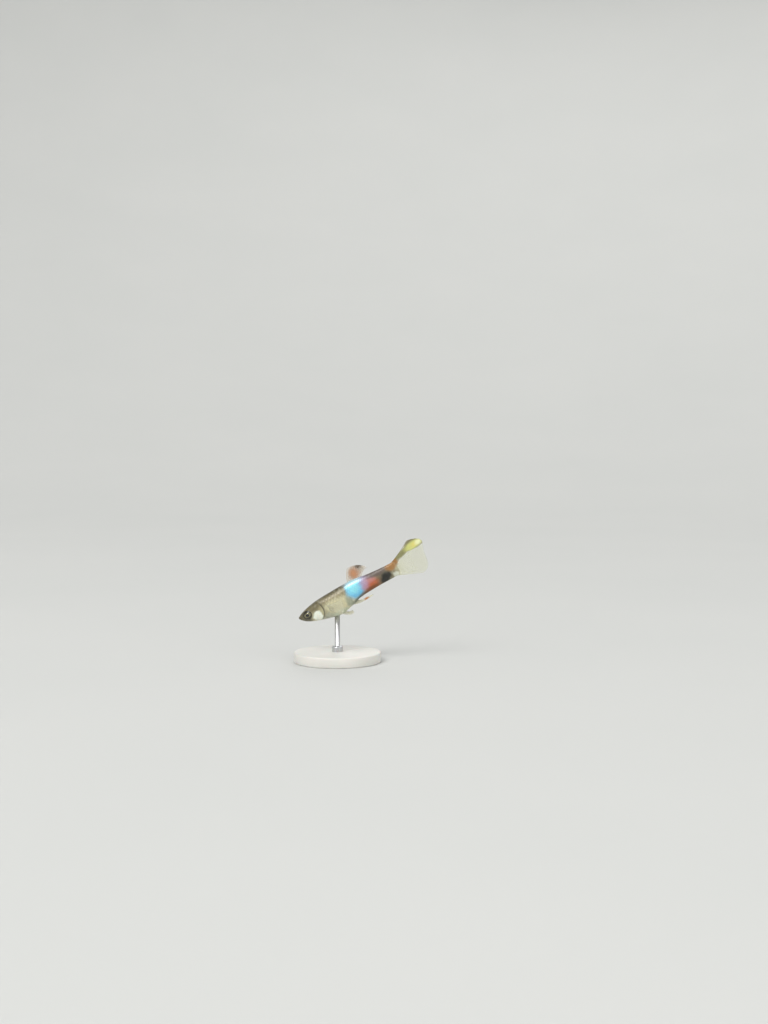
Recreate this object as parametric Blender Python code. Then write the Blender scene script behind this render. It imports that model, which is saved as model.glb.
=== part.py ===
"""Life-size model of an adult male Endler's livebearer, head down on a small display stand.

The fish is modelled level, in its own frame: X runs from the snout to the tail, Z to the back
and -Y to its left side. An empty carries its nodes and tips the snout down. Sizes are in
millimetres and become metres as each mesh is made. The origin is the centre of the stand's foot.
"""

import math

import bmesh
import bpy
from mathutils import Matrix, Vector

MM = 0.001
GAP = 0.3

# The fish as a whole
STANDARD_LENGTH = 18.4
PITCH = math.radians(28.0)
BEND = 0.0055  # sideways offset of the spine, per square millimetre from STRAIGHT_AT
STRAIGHT_AT = 8.0
SNOUT_X, SNOUT_Z = -6.5, 7.3

# Body outline: distance from the snout, back, belly, widest level, half-width, squareness
OUTLINE = (
    (0.0, 0.18, 0.18, 0.18, 0.00, 2.3),
    (0.5, 0.60, -0.54, 0.05, 0.70, 2.5),
    (1.0, 0.83, -0.92, 0.00, 0.92, 2.8),
    (2.0, 1.15, -1.38, 0.00, 1.13, 2.8),
    (3.2, 1.40, -1.78, -0.02, 1.27, 2.6),
    (4.6, 1.58, -2.16, -0.08, 1.35, 2.4),
    (7.0, 1.73, -2.58, -0.22, 1.37, 2.2),
    (9.2, 1.82, -2.10, -0.05, 1.17, 2.1),
    (11.0, 1.78, -1.55, 0.08, 0.96, 2.1),
    (14.0, 1.44, -1.28, 0.06, 0.69, 2.1),
    (17.0, 1.23, -1.22, 0.02, 0.47, 2.1),
    (STANDARD_LENGTH, 1.22, -1.22, 0.00, 0.34, 2.1),
)
BELLY_SQUARENESS = 2.1
RING_POINTS = 44

# Where the body is parted: middle of the cut, shift at the back, shift at the belly
GILL_EDGE = (4.60, -0.90, -1.25)
VENT_CUT = (9.05, 0.0, 0.0)
FLANK_CUT = (13.05, 0.0, 0.0)
STALK_END = (STANDARD_LENGTH, -0.30, -0.30)
GILL_FLARE, GILL_FLARE_LENGTH = 0.08, 0.45

# Head
EYE_X, EYE_Z, EYE_Y = 1.72, 0.08, 0.76
EYE_RADIUS, EYE_BULGE, EYE_BACK = 0.72, 0.42, 0.20
SOCKET_CLEARANCE = 0.2
MOUTH_TIP_Z, MOUTH_SLOPE, MOUTH_LENGTH = 0.29, -0.72, 0.62
MOUTH_SLIT = 0.09
LIP_RISE, LIP_OFFSET, LIP_SPREAD = 0.10, 0.15, 0.11
NOSTRIL_X, NOSTRIL_Y, NOSTRIL_RADIUS = 0.86, 0.42, 0.10

# Fins: membrane thickness at root and tip, and how far a ray stands out of the membrane
FIN_ROOT_THICK, FIN_TIP_THICK, RAY_RISE = 0.5, 0.28, 0.07
RAY_FOOT, MEMBRANE_NOTCH, MARGIN_ROW, MARGIN_THIN = 0.24, 0.015, 0.955, 0.5
DORSAL_FRONT, DORSAL_REAR, DORSAL_RAYS = 10.35, 12.75, 8
TAIL_APEX, TAIL_SPREAD, TAIL_RAYS = 15.9, math.radians(23.5), 15
TAIL_LIFT = math.radians(3.0)  # how much steeper the upper rays end than they start
TAIL_REACH, TAIL_CORNER, SWORD_REACH = 8.45, 1.05, 0.85
SWORD_PLACE, SWORD_SPREAD = 0.52, 0.30
PECTORAL_X, PECTORAL_TOP, PECTORAL_BOTTOM, PECTORAL_RAYS = 5.2, 0.05, -0.85, 11
PECTORAL_LENGTH = 3.2
PELVIC_X, PELVIC_BASE, PELVIC_Y, PELVIC_RAYS = 7.05, 0.55, 0.48, 6
PELVIC_LENGTH = 1.95
GONOPODIUM_X, GONOPODIUM_BASE, GONOPODIUM_LENGTH, GONOPODIUM_SHORT = 9.45, 0.95, 3.9, 1.35

# Stand
FOOT_RADIUS, FOOT_HEIGHT, FOOT_BEVEL = 7.5, 1.8, 0.3
ROD_RADIUS, COLLAR_RADIUS, COLLAR_HEIGHT = 0.45, 0.95, 0.6
ROD_SIDES = 24


def clear_scene():
    """Removes whatever the scene holds."""
    for obj in list(bpy.data.objects):
        bpy.data.objects.remove(obj)


def smooth(places, values, at):
    """Cubic Hermite curve through the values, with slopes taken from the neighbours."""
    last = len(places) - 1
    at = min(max(at, places[0]), places[last])
    i = next(k for k in range(last) if at <= places[k + 1])

    def slope(k):
        low, high = max(k - 1, 0), min(k + 1, last)
        return (values[high] - values[low]) / (places[high] - places[low])

    width = places[i + 1] - places[i]
    t = (at - places[i]) / width
    start = (2 * t**3 - 3 * t**2 + 1) * values[i] + (t**3 - 2 * t**2 + t) * width * slope(i)
    end = (3 * t**2 - 2 * t**3) * values[i + 1] + (t**3 - t**2) * width * slope(i + 1)
    return start + end


def section(x):
    """Back, belly, widest level, half-width and squareness at x. The root makes the nose round."""
    places = [math.sqrt(row[0]) for row in OUTLINE]
    root = math.sqrt(max(x, 0.0))
    return [smooth(places, [row[k] for row in OUTLINE], root) for k in range(1, 6)]


def round_power(value, power):
    return math.copysign(abs(value) ** power, value)


def lip_rise(x, z):
    """How far the lips stand out, from the distance to the line of the mouth."""
    beyond = max(x - MOUTH_LENGTH, 0.0) / LIP_SPREAD
    away = (abs(z - MOUTH_TIP_Z - MOUTH_SLOPE * x) - LIP_OFFSET) / LIP_SPREAD
    return LIP_RISE * math.exp(-(away**2) - beyond**2)


def gill_flare(x, turn):
    """How far the gill cover's rear edge stands out."""
    before = edge(GILL_EDGE, turn) - x
    return GILL_FLARE * max(0.0, 1.0 - before / GILL_FLARE_LENGTH) * abs(math.cos(turn))


def skin(x, turn, rise=0.0):
    """A point of the body's surface. Turn 0 is the left side and a quarter turn is the back."""
    back, belly, level, half, square = section(x)
    square = square if math.sin(turn) > 0 else BELLY_SQUARENESS
    height = back - level if math.sin(turn) > 0 else level - belly
    y = -(half + rise) * round_power(math.cos(turn), 2 / square)
    z = level + (height + rise) * round_power(math.sin(turn), 2 / square)
    return Vector((x, y, z))


def side_at(x, z):
    """Half-width of the body at a height."""
    back, belly, level, half, square = section(x)
    square = square if z > level else BELLY_SQUARENESS
    share = min(1.0, abs(z - level) / (back - level if z > level else level - belly))
    return half * (1 - share**square) ** (1 / square)


def bottom_at(x, y):
    """Height of the belly's surface at a distance from the middle plane."""
    _, belly, level, half, _ = section(x)
    share = min(1.0, abs(y) / half)
    return level - (level - belly) * (1 - share**BELLY_SQUARENESS) ** (1 / BELLY_SQUARENESS)


def bent(point):
    """Carries a point of the straight fish to the gently curved one."""
    offset = point[0] - STRAIGHT_AT
    heading = math.atan(2 * BEND * offset)
    x = point[0] - point[1] * math.sin(heading)
    y = BEND * offset**2 + point[1] * math.cos(heading)
    return Vector((x, y, point[2]))


def edge(cut, turn):
    """Where a cut lies at this turn round the body."""
    middle, at_back, at_belly = cut
    return middle + (at_back if math.sin(turn) > 0 else at_belly) * math.sin(turn) ** 2


def material(name, colour, roughness, metallic=0.0, alpha=1.0):
    made = bpy.data.materials.new(name)
    made.use_nodes = True
    shader = made.node_tree.nodes["Principled BSDF"]
    shader.inputs["Base Color"].default_value = (*colour, 1.0)
    shader.inputs["Roughness"].default_value = roughness
    shader.inputs["Metallic"].default_value = metallic
    shader.inputs["Alpha"].default_value = alpha
    return made


def mesh_object(name, points, faces, finish):
    """An object, still in millimetres, from points and faces, with its faces turned outwards."""
    mesh = bpy.data.meshes.new(name)
    mesh.from_pydata([tuple(p) for p in points], [], faces)
    shape = bmesh.new()
    shape.from_mesh(mesh)
    bmesh.ops.recalc_face_normals(shape, faces=shape.faces)
    shape.to_mesh(mesh)
    shape.free()
    mesh.materials.append(finish)
    obj = bpy.data.objects.new(name, mesh)
    bpy.context.scene.collection.objects.link(obj)
    return obj


def cut_out(obj, cutters):
    """Cuts closed helper shapes from obj, applies the cuts and removes the helpers."""
    for cutter in cutters:
        change = obj.modifiers.new("cut", "BOOLEAN")
        change.operation = "DIFFERENCE"
        change.object = cutter
    graph = bpy.context.evaluated_depsgraph_get()
    shaped = bpy.data.meshes.new_from_object(obj.evaluated_get(graph))
    obj.modifiers.clear()
    obj.data = shaped
    for cutter in cutters:
        bpy.data.objects.remove(cutter)


def place(obj, carrier, origin=(0.0, 0.0, 0.0), sharp_degrees=40.0):
    """Makes the mesh metres, gives it its own origin, shades it and hangs it on its carrier."""
    obj.data.transform(Matrix.Scale(MM, 4) @ Matrix.Translation(-Vector(origin)))
    obj.location = Vector(origin) * MM
    obj.parent = carrier
    obj.data.shade_smooth()
    obj.data.set_sharp_from_angle(angle=math.radians(sharp_degrees))
    return obj


def ball(name, centre, radii, finish, segments=24, rings=12):
    """A closed ellipsoid whose poles lie along Y."""
    shape = bmesh.new()
    bmesh.ops.create_uvsphere(shape, u_segments=segments, v_segments=rings, radius=1.0)
    bmesh.ops.rotate(shape, matrix=Matrix.Rotation(math.pi / 2, 3, "X"), verts=shape.verts)
    bmesh.ops.scale(shape, vec=radii, verts=shape.verts)
    bmesh.ops.translate(shape, vec=centre, verts=shape.verts)
    mesh = bpy.data.meshes.new(name)
    shape.to_mesh(mesh)
    shape.free()
    mesh.materials.append(finish)
    obj = bpy.data.objects.new(name, mesh)
    bpy.context.scene.collection.objects.link(obj)
    return obj


def lofted(name, rings, tip, finish):
    """Skins closed rings of points. It starts at a tip, or at a flat fan where tip is None."""
    points = [p for ring in rings for p in ring]
    count = len(rings[0])
    faces = []
    for i in range(len(rings) - 1):
        for k in range(count):
            after = (k + 1) % count
            low, high = i * count, (i + 1) * count
            faces.append((low + k, low + after, high + after, high + k))
    front = tip if tip is not None else sum(rings[0], Vector()) / count
    rear = sum(rings[-1], Vector()) / count
    points += [front, rear]
    last = (len(rings) - 1) * count
    for k in range(count):
        after = (k + 1) % count
        faces.append((len(points) - 2, after, k))
        faces.append((len(points) - 1, last + k, last + after))
    return mesh_object(name, points, faces, finish)


def turns():
    return [2 * math.pi * k / RING_POINTS for k in range(RING_POINTS)]


def body_length(name, front, rear, rings, finish):
    """A length of the body between two cuts, half a gap short of each."""
    made = []
    for i in range(rings + 1):
        ring = []
        for turn in turns():
            start, end = edge(front, turn) + GAP / 2, edge(rear, turn) - GAP / 2
            x = start + (end - start) * i / rings
            ring.append(bent(skin(x, turn)))
        made.append(ring)
    return lofted(name, made, None, finish)


def head_solid(finish):
    """The head with lips and gill covers, before the eyes, mouth and nostrils are cut."""
    rings = 26
    made = []
    for i in range(1, rings + 1):
        ring = []
        for turn in turns():
            x = (edge(GILL_EDGE, turn) - GAP / 2) * (i / rings) ** 2
            z = skin(x, turn).z
            rise = lip_rise(x, z) + gill_flare(x, turn)
            ring.append(bent(skin(x, turn, rise)))
        made.append(ring)
    return lofted("head", made, bent(Vector((0.0, 0.0, OUTLINE[0][3]))), finish)


def mouth_cutter(finish):
    """A thin slanting wedge that parts the lips."""
    reach, wide = 0.4, 1.6
    slant = Matrix.Rotation(-math.atan(MOUTH_SLOPE), 4, "Y")
    length = MOUTH_LENGTH / math.cos(math.atan(MOUTH_SLOPE))
    corners = []
    for x, half in ((-reach, MOUTH_SLIT / 2), (length, MOUTH_SLIT / 4)):
        for y in (-wide, wide):
            for z in (-half, half):
                corner = slant @ Vector((x, y, z)) + Vector((0.0, 0.0, MOUTH_TIP_Z))
                corners.append(bent(corner))
    faces = [(0, 1, 3, 2), (4, 6, 7, 5), (0, 4, 5, 1), (2, 3, 7, 6), (0, 2, 6, 4), (1, 5, 7, 3)]
    return mesh_object("mouth_cutter", corners, faces, finish)


def eye_shape(name, side, grow, finish):
    """A lens: a high dome outwards and a low one inwards, grown evenly for the socket."""
    centre = bent(Vector((EYE_X, side * EYE_Y, EYE_Z)))
    radius = EYE_RADIUS + grow
    obj = ball(name, (0, 0, 0), (radius, 1.0, radius), finish)
    for vertex in obj.data.vertices:
        outward = vertex.co.y * side > 0
        vertex.co.y *= (EYE_BULGE if outward else EYE_BACK) + grow
        vertex.co += centre
    return obj


def make_head(carrier, finish):
    head = head_solid(finish)
    cutters = [mouth_cutter(finish)]
    for side in (-1, 1):
        cutters.append(eye_shape("socket_cutter", side, SOCKET_CLEARANCE, finish))
        top = section(NOSTRIL_X)[0]
        nostril = bent(Vector((NOSTRIL_X, side * NOSTRIL_Y, top - 0.05)))
        radii = (NOSTRIL_RADIUS, NOSTRIL_RADIUS, NOSTRIL_RADIUS)
        cutters.append(ball("nostril_cutter", nostril, radii, finish, 12, 6))
    cut_out(head, cutters)
    place(head, carrier)


def make_eyes(carrier, finish):
    for side, name in ((-1, "eye_left"), (1, "eye_right")):
        eye = eye_shape(name, side, 0.0, finish)
        place(eye, carrier, bent(Vector((EYE_X, side * EYE_Y, EYE_Z))))


def bezier(root, knee, tip, t):
    return root * (1 - t) ** 2 + knee * (2 * t * (1 - t)) + tip * t**2


def ray_fin(name, carrier, finish, rays, ray, rows, root_thick=FIN_ROOT_THICK):
    """A closed fin. ray(u) gives a ray's root, knee and tip, u from the first ray to the last.

    Each ray is a ridge on both faces, with a crest between two feet. The membrane is cut back a
    little at the margin, and both faces are split into the same triangles.
    """
    columns = [(0.0, True)]
    for k in range(1, rays):
        columns += [((k - 1 + RAY_FOOT) / (rays - 1), False), ((k - RAY_FOOT) / (rays - 1), False)]
        columns.append((k / (rays - 1), True))
    levels = [MARGIN_ROW * row / (rows - 1) for row in range(rows)] + [1.0]
    step = 0.01
    faces_points = {1: [], -1: []}
    for u, on_ray in columns:
        root, knee, tip = (Vector(p) for p in ray(u))
        beside = Vector(ray(min(u + step, 1.0))[0]) - Vector(ray(max(u - step, 0.0))[0])
        facing = beside.cross(tip - root).normalized()
        for level in levels:
            t = level * (1.0 if on_ray else 1.0 - MEMBRANE_NOTCH)
            thick = root_thick + (FIN_TIP_THICK - root_thick) * t
            thick += 2 * RAY_RISE * (1 - 0.5 * t) if on_ray else 0.0
            thick *= MARGIN_THIN if level == 1.0 else 1.0
            middle = bezier(root, knee, tip, t)
            for side in (1, -1):
                faces_points[side].append(bent(middle + facing * (side * thick / 2)))
    points = faces_points[1] + faces_points[-1]
    deep, half = rows + 1, len(faces_points[1])
    faces = []
    for c in range(len(columns) - 1):
        for r in range(rows):
            a, b = c * deep + r, (c + 1) * deep + r
            for base in (0, half):
                faces += [(base + a, base + b, base + b + 1), (base + a, base + b + 1, base + a + 1)]
        for r in (0, rows):
            a, b = c * deep + r, (c + 1) * deep + r
            faces.append((a, b, half + b, half + a))
    for c in (0, len(columns) - 1):
        for r in range(rows):
            a = c * deep + r
            faces.append((a, a + 1, half + a + 1, half + a))
    fin = mesh_object(name, points, faces, finish)
    place(fin, carrier, bent(Vector(ray(0.0)[0])), 30.0)


def along(start, angle_degrees, length, outward=0.0):
    """The point reached from start in the fin's plane, angle above the tail direction."""
    angle = math.radians(angle_degrees)
    step = Vector((math.cos(angle), outward, math.sin(angle)))
    return Vector(start) + step * length


def dorsal_ray(u):
    x = DORSAL_FRONT + (DORSAL_REAR - DORSAL_FRONT) * u
    root = Vector((x, 0.0, section(x)[0] + GAP))
    length = 2.05 + 0.55 * math.sin(math.pi * (0.1 + 0.75 * u)) - 0.45 * u
    knee = along(root, 74 - 34 * u, length * 0.5)
    return root, knee, along(root, 60 - 38 * u, length)


def tail_ray(u):
    """Rays fan out from an apex in the tail stalk. The upper lobe reaches out as a short sword."""
    lift = 2 * u - 1
    angle = TAIL_SPREAD * lift
    root_z = (STANDARD_LENGTH - TAIL_APEX) * math.tan(angle)
    rounding = STALK_END[1] * (root_z / section(STANDARD_LENGTH)[0]) ** 2
    root = Vector((STANDARD_LENGTH + rounding + GAP, 0.0, root_z))
    sword = SWORD_REACH * math.exp(-(((lift - SWORD_PLACE) / SWORD_SPREAD) ** 2))
    reach = TAIL_REACH - TAIL_CORNER * abs(lift) ** 5 + sword
    straight = Vector((TAIL_APEX + reach * math.cos(angle), 0.0, reach * math.sin(angle)))
    end = angle + TAIL_LIFT * max(lift, 0.0)
    tip = Vector((TAIL_APEX + reach * math.cos(end), 0.0, reach * math.sin(end)))
    return root, (root + straight) / 2, tip


def pectoral_ray(side):
    """Rays of one pectoral fin, from its upper edge to its lower one."""

    def ray(u):
        z = PECTORAL_TOP + (PECTORAL_BOTTOM - PECTORAL_TOP) * u
        x = PECTORAL_X + 0.1 * u
        clear = GAP + FIN_ROOT_THICK / 2 + RAY_RISE
        root = Vector((x, side * (side_at(x, z) + clear), z))
        length = PECTORAL_LENGTH * (0.86 + 0.22 * math.sin(math.pi * (0.1 + 0.6 * u)) - 0.3 * u)
        knee = along(root, -4 - 20 * u, length * 0.5, side * 0.10)
        return root, knee, along(root, -2 - 36 * u, length, side * 0.32)

    return ray


def pelvic_ray(side):
    """Rays of one pelvic fin, from its outer edge to its inner one."""

    def ray(u):
        x = PELVIC_X + PELVIC_BASE * u
        y = PELVIC_Y - 0.08 * u
        root = Vector((x, side * y, bottom_at(x, y) - GAP))
        length = PELVIC_LENGTH * (1 - 0.35 * u)
        knee = along(root, -42 + 12 * u, length * 0.45, side * 0.12)
        return root, knee, along(root, -20 + 14 * u, length, side * (0.16 - 0.2 * u))

    return ray


def gonopodium_ray(u):
    """The first rays make the long pointed rod, held along the belly. The rest are a short web."""
    x = GONOPODIUM_X + GONOPODIUM_BASE * u
    root = Vector((x, 0.0, section(x)[1] - GAP))
    if u < 0.45:
        knee = Vector((x + 0.65, 0.0, root.z - 0.26 + 0.35 * u))
        tip_z = section(GONOPODIUM_X)[1] - GAP + 0.14 + 0.34 * u
        return root, knee, Vector((GONOPODIUM_X + GONOPODIUM_LENGTH - 0.5 * u, 0.0, tip_z))
    length = GONOPODIUM_SHORT * (1.45 - u)
    return root, along(root, -6, length * 0.5), along(root, 10, length)


def world_of(point):
    """A point of the level fish, in the stand's frame."""
    x = SNOUT_X + point.x * math.cos(PITCH) - point.z * math.sin(PITCH)
    z = SNOUT_Z + point.x * math.sin(PITCH) + point.z * math.cos(PITCH)
    return Vector((x, point.y, z))


def belly_above(x, y):
    """Height of the tipped fish's belly straight above a point of the stand."""
    at = STRAIGHT_AT
    for _ in range(40):
        spine = BEND * (at - STRAIGHT_AT) ** 2
        here = Vector((at, y, bottom_at(at, y - spine)))
        at += (x - world_of(here).x) / math.cos(PITCH)
    return world_of(here).z


def ring_of(radius, height):
    """A level ring round the stand's axis. The height may depend on the place."""
    made = []
    for k in range(ROD_SIDES):
        angle = 2 * math.pi * k / ROD_SIDES
        x, y = radius * math.cos(angle), radius * math.sin(angle)
        made.append(Vector((x, y, height(x, y) if callable(height) else height)))
    return made


def make_stand(foot_finish, rod_finish):
    shape = bmesh.new()
    bmesh.ops.create_cone(
        shape,
        cap_ends=True,
        segments=64,
        radius1=FOOT_RADIUS * MM,
        radius2=FOOT_RADIUS * MM,
        depth=FOOT_HEIGHT * MM,
    )
    mesh = bpy.data.meshes.new("stand_base")
    shape.to_mesh(mesh)
    shape.free()
    mesh.materials.append(foot_finish)
    foot = bpy.data.objects.new("stand_base", mesh)
    bpy.context.scene.collection.objects.link(foot)
    foot.location.z = FOOT_HEIGHT * MM / 2
    bevel = foot.modifiers.new("soft edge", "BEVEL")
    bevel.width = FOOT_BEVEL * MM
    bevel.segments = 3
    bevel.limit_method = "ANGLE"
    mesh.shade_smooth()
    mesh.set_sharp_from_angle(angle=math.radians(40))

    low = FOOT_HEIGHT + GAP
    slope_gap = GAP / math.cos(PITCH)
    rings = [
        ring_of(COLLAR_RADIUS, low),
        ring_of(COLLAR_RADIUS, low + COLLAR_HEIGHT * 0.6),
        ring_of(ROD_RADIUS, low + COLLAR_HEIGHT),
        ring_of(ROD_RADIUS, lambda x, y: belly_above(x, y) - slope_gap),
    ]
    rod = lofted("stand_rod", rings, None, rod_finish)
    place(rod, None)


def main():
    clear_scene()
    head_skin = material("head_skin", (0.42, 0.39, 0.27), 0.45)
    belly_skin = material("belly_skin", (0.72, 0.68, 0.52), 0.35, 0.2)
    blue_skin = material("blue_skin", (0.35, 0.68, 0.95), 0.25, 0.3)
    orange_skin = material("orange_skin", (0.80, 0.30, 0.14), 0.4)
    eye_finish = material("eye", (0.03, 0.03, 0.03), 0.1)
    clear_fin = material("clear_fin", (0.78, 0.78, 0.66), 0.3, 0.0, 0.6)
    tail_finish = material("tail_fin", (0.80, 0.82, 0.38), 0.3)
    dorsal_finish = material("dorsal_fin", (0.75, 0.42, 0.28), 0.35)
    foot_finish = material("stand_base", (0.80, 0.79, 0.76), 0.5)
    rod_finish = material("stand_rod", (0.72, 0.72, 0.72), 0.25, 1.0)

    fish = bpy.data.objects.new("fish", None)
    bpy.context.scene.collection.objects.link(fish)
    fish.location = Vector((SNOUT_X, 0.0, SNOUT_Z)) * MM
    fish.rotation_euler = (0.0, -PITCH, 0.0)

    make_head(fish, head_skin)
    make_eyes(fish, eye_finish)
    place(body_length("trunk_front", GILL_EDGE, VENT_CUT, 14, belly_skin), fish)
    place(body_length("trunk_rear", VENT_CUT, FLANK_CUT, 12, blue_skin), fish)
    place(body_length("tail_stalk", FLANK_CUT, STALK_END, 14, orange_skin), fish)
    ray_fin("dorsal_fin", fish, dorsal_finish, DORSAL_RAYS, dorsal_ray, 6)
    ray_fin("tail_fin", fish, tail_finish, TAIL_RAYS, tail_ray, 9)
    ray_fin("gonopodium", fish, clear_fin, 6, gonopodium_ray, 8)
    for side, name in ((-1, "left"), (1, "right")):
        ray_fin(f"pectoral_fin_{name}", fish, clear_fin, PECTORAL_RAYS, pectoral_ray(side), 6)
        ray_fin(f"pelvic_fin_{name}", fish, clear_fin, PELVIC_RAYS, pelvic_ray(side), 5)
    make_stand(foot_finish, rod_finish)


main()
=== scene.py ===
"""The looks of a life-size male Endler's livebearer, head down on a small display stand.

The fish is shaped level and straight, in millimetres: X from the snout to the tail, Z to the back
and -Y to its left side. to_world() bends it, tips it and carries it to the frame, in metres.
"""

import functools
import math

import bpy
import numpy as np
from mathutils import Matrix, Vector


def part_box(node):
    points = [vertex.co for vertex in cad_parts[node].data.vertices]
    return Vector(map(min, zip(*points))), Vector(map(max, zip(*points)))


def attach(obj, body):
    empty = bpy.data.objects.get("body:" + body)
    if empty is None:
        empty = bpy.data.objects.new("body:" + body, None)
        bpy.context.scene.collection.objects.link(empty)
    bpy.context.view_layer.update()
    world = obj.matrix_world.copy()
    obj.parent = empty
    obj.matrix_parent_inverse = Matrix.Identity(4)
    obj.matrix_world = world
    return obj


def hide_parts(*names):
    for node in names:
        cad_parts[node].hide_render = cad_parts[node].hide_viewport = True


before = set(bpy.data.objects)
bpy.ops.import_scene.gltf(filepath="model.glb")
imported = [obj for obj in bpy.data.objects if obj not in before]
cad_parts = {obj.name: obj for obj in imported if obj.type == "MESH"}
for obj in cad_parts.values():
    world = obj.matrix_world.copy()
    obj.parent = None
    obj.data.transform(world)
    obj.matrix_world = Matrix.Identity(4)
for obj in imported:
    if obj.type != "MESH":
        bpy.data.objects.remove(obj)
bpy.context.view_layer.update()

MM = 0.001

# The fish as a whole, as the solids have it
STANDARD_LENGTH = 18.4
PITCH = math.radians(28.0)
BEND, STRAIGHT_AT = 0.0055, 8.0
SNOUT_X, SNOUT_Z = -6.5, 7.3
GAP = 0.3

# Body outline: distance from the snout, back, belly, widest level, half-width, squareness
OUTLINE = np.array([
    (0.0, 0.18, 0.18, 0.18, 0.00, 2.3),
    (0.5, 0.60, -0.54, 0.05, 0.70, 2.5),
    (1.0, 0.83, -0.92, 0.00, 0.92, 2.8),
    (2.0, 1.15, -1.38, 0.00, 1.13, 2.8),
    (3.2, 1.40, -1.78, -0.02, 1.27, 2.6),
    (4.6, 1.58, -2.16, -0.08, 1.35, 2.4),
    (7.0, 1.73, -2.58, -0.22, 1.37, 2.2),
    (9.2, 1.82, -2.10, -0.05, 1.17, 2.1),
    (11.0, 1.78, -1.55, 0.08, 0.96, 2.1),
    (14.0, 1.44, -1.28, 0.06, 0.69, 2.1),
    (17.0, 1.23, -1.22, 0.02, 0.47, 2.1),
    (STANDARD_LENGTH, 1.22, -1.22, 0.00, 0.34, 2.1),
])
BELLY_SQUARENESS = 2.1
GILL_EDGE = (4.60, -0.90, -1.25)  # middle, and its shift at the back and at the belly
GILL_FLARE, GILL_FLARE_LENGTH, GILL_STEP, GILL_TROUGH, GILL_SLIT = 0.08, 0.55, 0.03, 0.05, 0.16
GILL_LIES_DOWN = (0.3, 0.75)  # cosines of a turn between which its edge lies down to the back

# Fineness of the skin
HEAD_RINGS, TRUNK_RINGS, STALK_RINGS, COLUMNS = 124, 150, 10, 222
ROUND_STEPS = 900  # steps that a ring is measured in before it is shared out evenly
BODY_STATIONS = 260  # rings that the scales are laid on
STALK_SHARES = np.linspace(0, 1, STALK_RINGS + 1)[1:]
STALK_TAPER = 0.75  # how far the skin runs out over the tail fin's rays
STALK_CURVE, STALK_THIN, STALK_SPREAD = 0.3, 0.88, 0.13
SKIN_SINK = 0.02  # how far the skin lies inside the scales

# Scales: rows round the whole body, their length against their row's width, and their relief
SCALE_ROWS, SCALE_LENGTH, SCALE_WIDTH, SCALE_RISE = 24, 1.25, 0.985, 0.026
SCALE_BULGE, SCALE_CORNER = 0.50, 0.05  # of the free edge, in scales
SCALE_ROOT, SCALE_FALL, SCALE_TUCK, SCALE_DEPTH, SCALE_SEED = 0.8, 1.5, 0.3, 0.06, 7
SCALE_POINTS_ACROSS, SCALE_POINTS_ALONG, SCALE_CROWDING, SCALE_EDGE = 13, 8, 1.7, 0.5
SCALE_FAINTEST, SCALE_GILL_CLEAR, NAPE_GILL_CLEAR = 0.06, 0.12, 0.05
NAPE_FADE, NAPE_SINES = (2.3, 3.4), (0.4, 0.7)  # where scales grow stronger on the nape
STALK_FADE, STALK_COVER = 0.4, 0.5  # and how they fade at the end of the tail stalk
MAP_MARGIN = 0.04  # round a scale's own place on the map, in scales

# Head
EYE_X, EYE_Z, EYE_BACK_Y, EYE_FRONT_Y = 1.72, 0.08, 0.56, 1.23
EYE_RADIUS, EYE_INSET, PUPIL_RADIUS = 0.72, 0.05, 0.29
EYE_RINGS, EYE_COLUMNS, EYE_FIRST_RING = 30, 72, 0.02
LENS_RISE, IRIS_DIP, IRIS_DIP_RADIUS, IRIS_DIP_WIDTH = 0.03, 0.02, 0.37, 0.05
MOUTH_TIP_Z, MOUTH_SLOPE, MOUTH_LENGTH = 0.29, -0.72, 0.62
LIP_RISE, LIP_OFFSET, LIP_SPREAD = 0.070, 0.13, 0.085
NOSTRIL_X, NOSTRIL_Y, NOSTRIL_LEVEL = 0.86, 0.42, 0.25
SLIT_BACK, SLIT_OUT, SLIT_STRETCH = 0.27, 0.12, 0.55  # of the rear nostril, from the front one
SOCKET_DEPTH, CHEEK_X, CHEEK_Z, JAW_Z, JAW_SLOPE = 0.34, 2.3, -0.25, -0.612, -0.42
FAR = 9.0  # further than any feature of the head reaches

# Fins. A KNEE and a TIP are angles or heights for the first ray and the last. SWELL: see swelling()
DORSAL_FRONT, DORSAL_REAR, DORSAL_RAYS = 10.35, 12.75, 8
DORSAL_SWELL, DORSAL_KNEE, DORSAL_TIP = (2.05, 0.55, 0.75, 0.45), (74, 40), (60, 22)
TAIL_APEX, TAIL_SPREAD, TAIL_RAYS = 15.9, math.radians(23.5), 17
TAIL_LIFT = math.radians(3.0)  # how much steeper the upper rays end than they start
TAIL_REACH, TAIL_CORNER, SWORD_REACH = 8.45, 1.05, 0.85
SWORD_PLACE, SWORD_SPREAD = 0.52, 0.30
STALK_ROUNDING, TAIL_ROOT_NARROW = -0.30, 0.93
PECTORAL_X, PECTORAL_TOP, PECTORAL_BOTTOM, PECTORAL_RAYS = 5.2, 0.05, -0.85, 13
PECTORAL_LENGTH, PECTORAL_CLEAR, PECTORAL_SWELL = 3.2, 0.62, (0.86, 0.22, 0.6, 0.3)
PECTORAL_KNEE, PECTORAL_TIP = (-4, -24), (-2, -38)
PELVIC_X, PELVIC_BASE, PELVIC_Y, PELVIC_RAYS, PELVIC_LENGTH = 7.05, 0.55, 0.48, 6, 1.95
PELVIC_KNEE, PELVIC_TIP, PELVIC_SHORTER = (-42, -30), (-20, -6), 0.35
GONOPODIUM_X, GONOPODIUM_BASE, GONOPODIUM_LENGTH, GONOPODIUM_RAYS = 9.45, 0.95, 3.9, 6
GONOPODIUM_KNEE, GONOPODIUM_TIP = (-0.26, 0.09), (0.14, 0.48)
GONOPODIUM_SHORT, GONOPODIUM_CHANGE = 1.35, (0.40, 0.55)  # short rays, and where they take over
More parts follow.
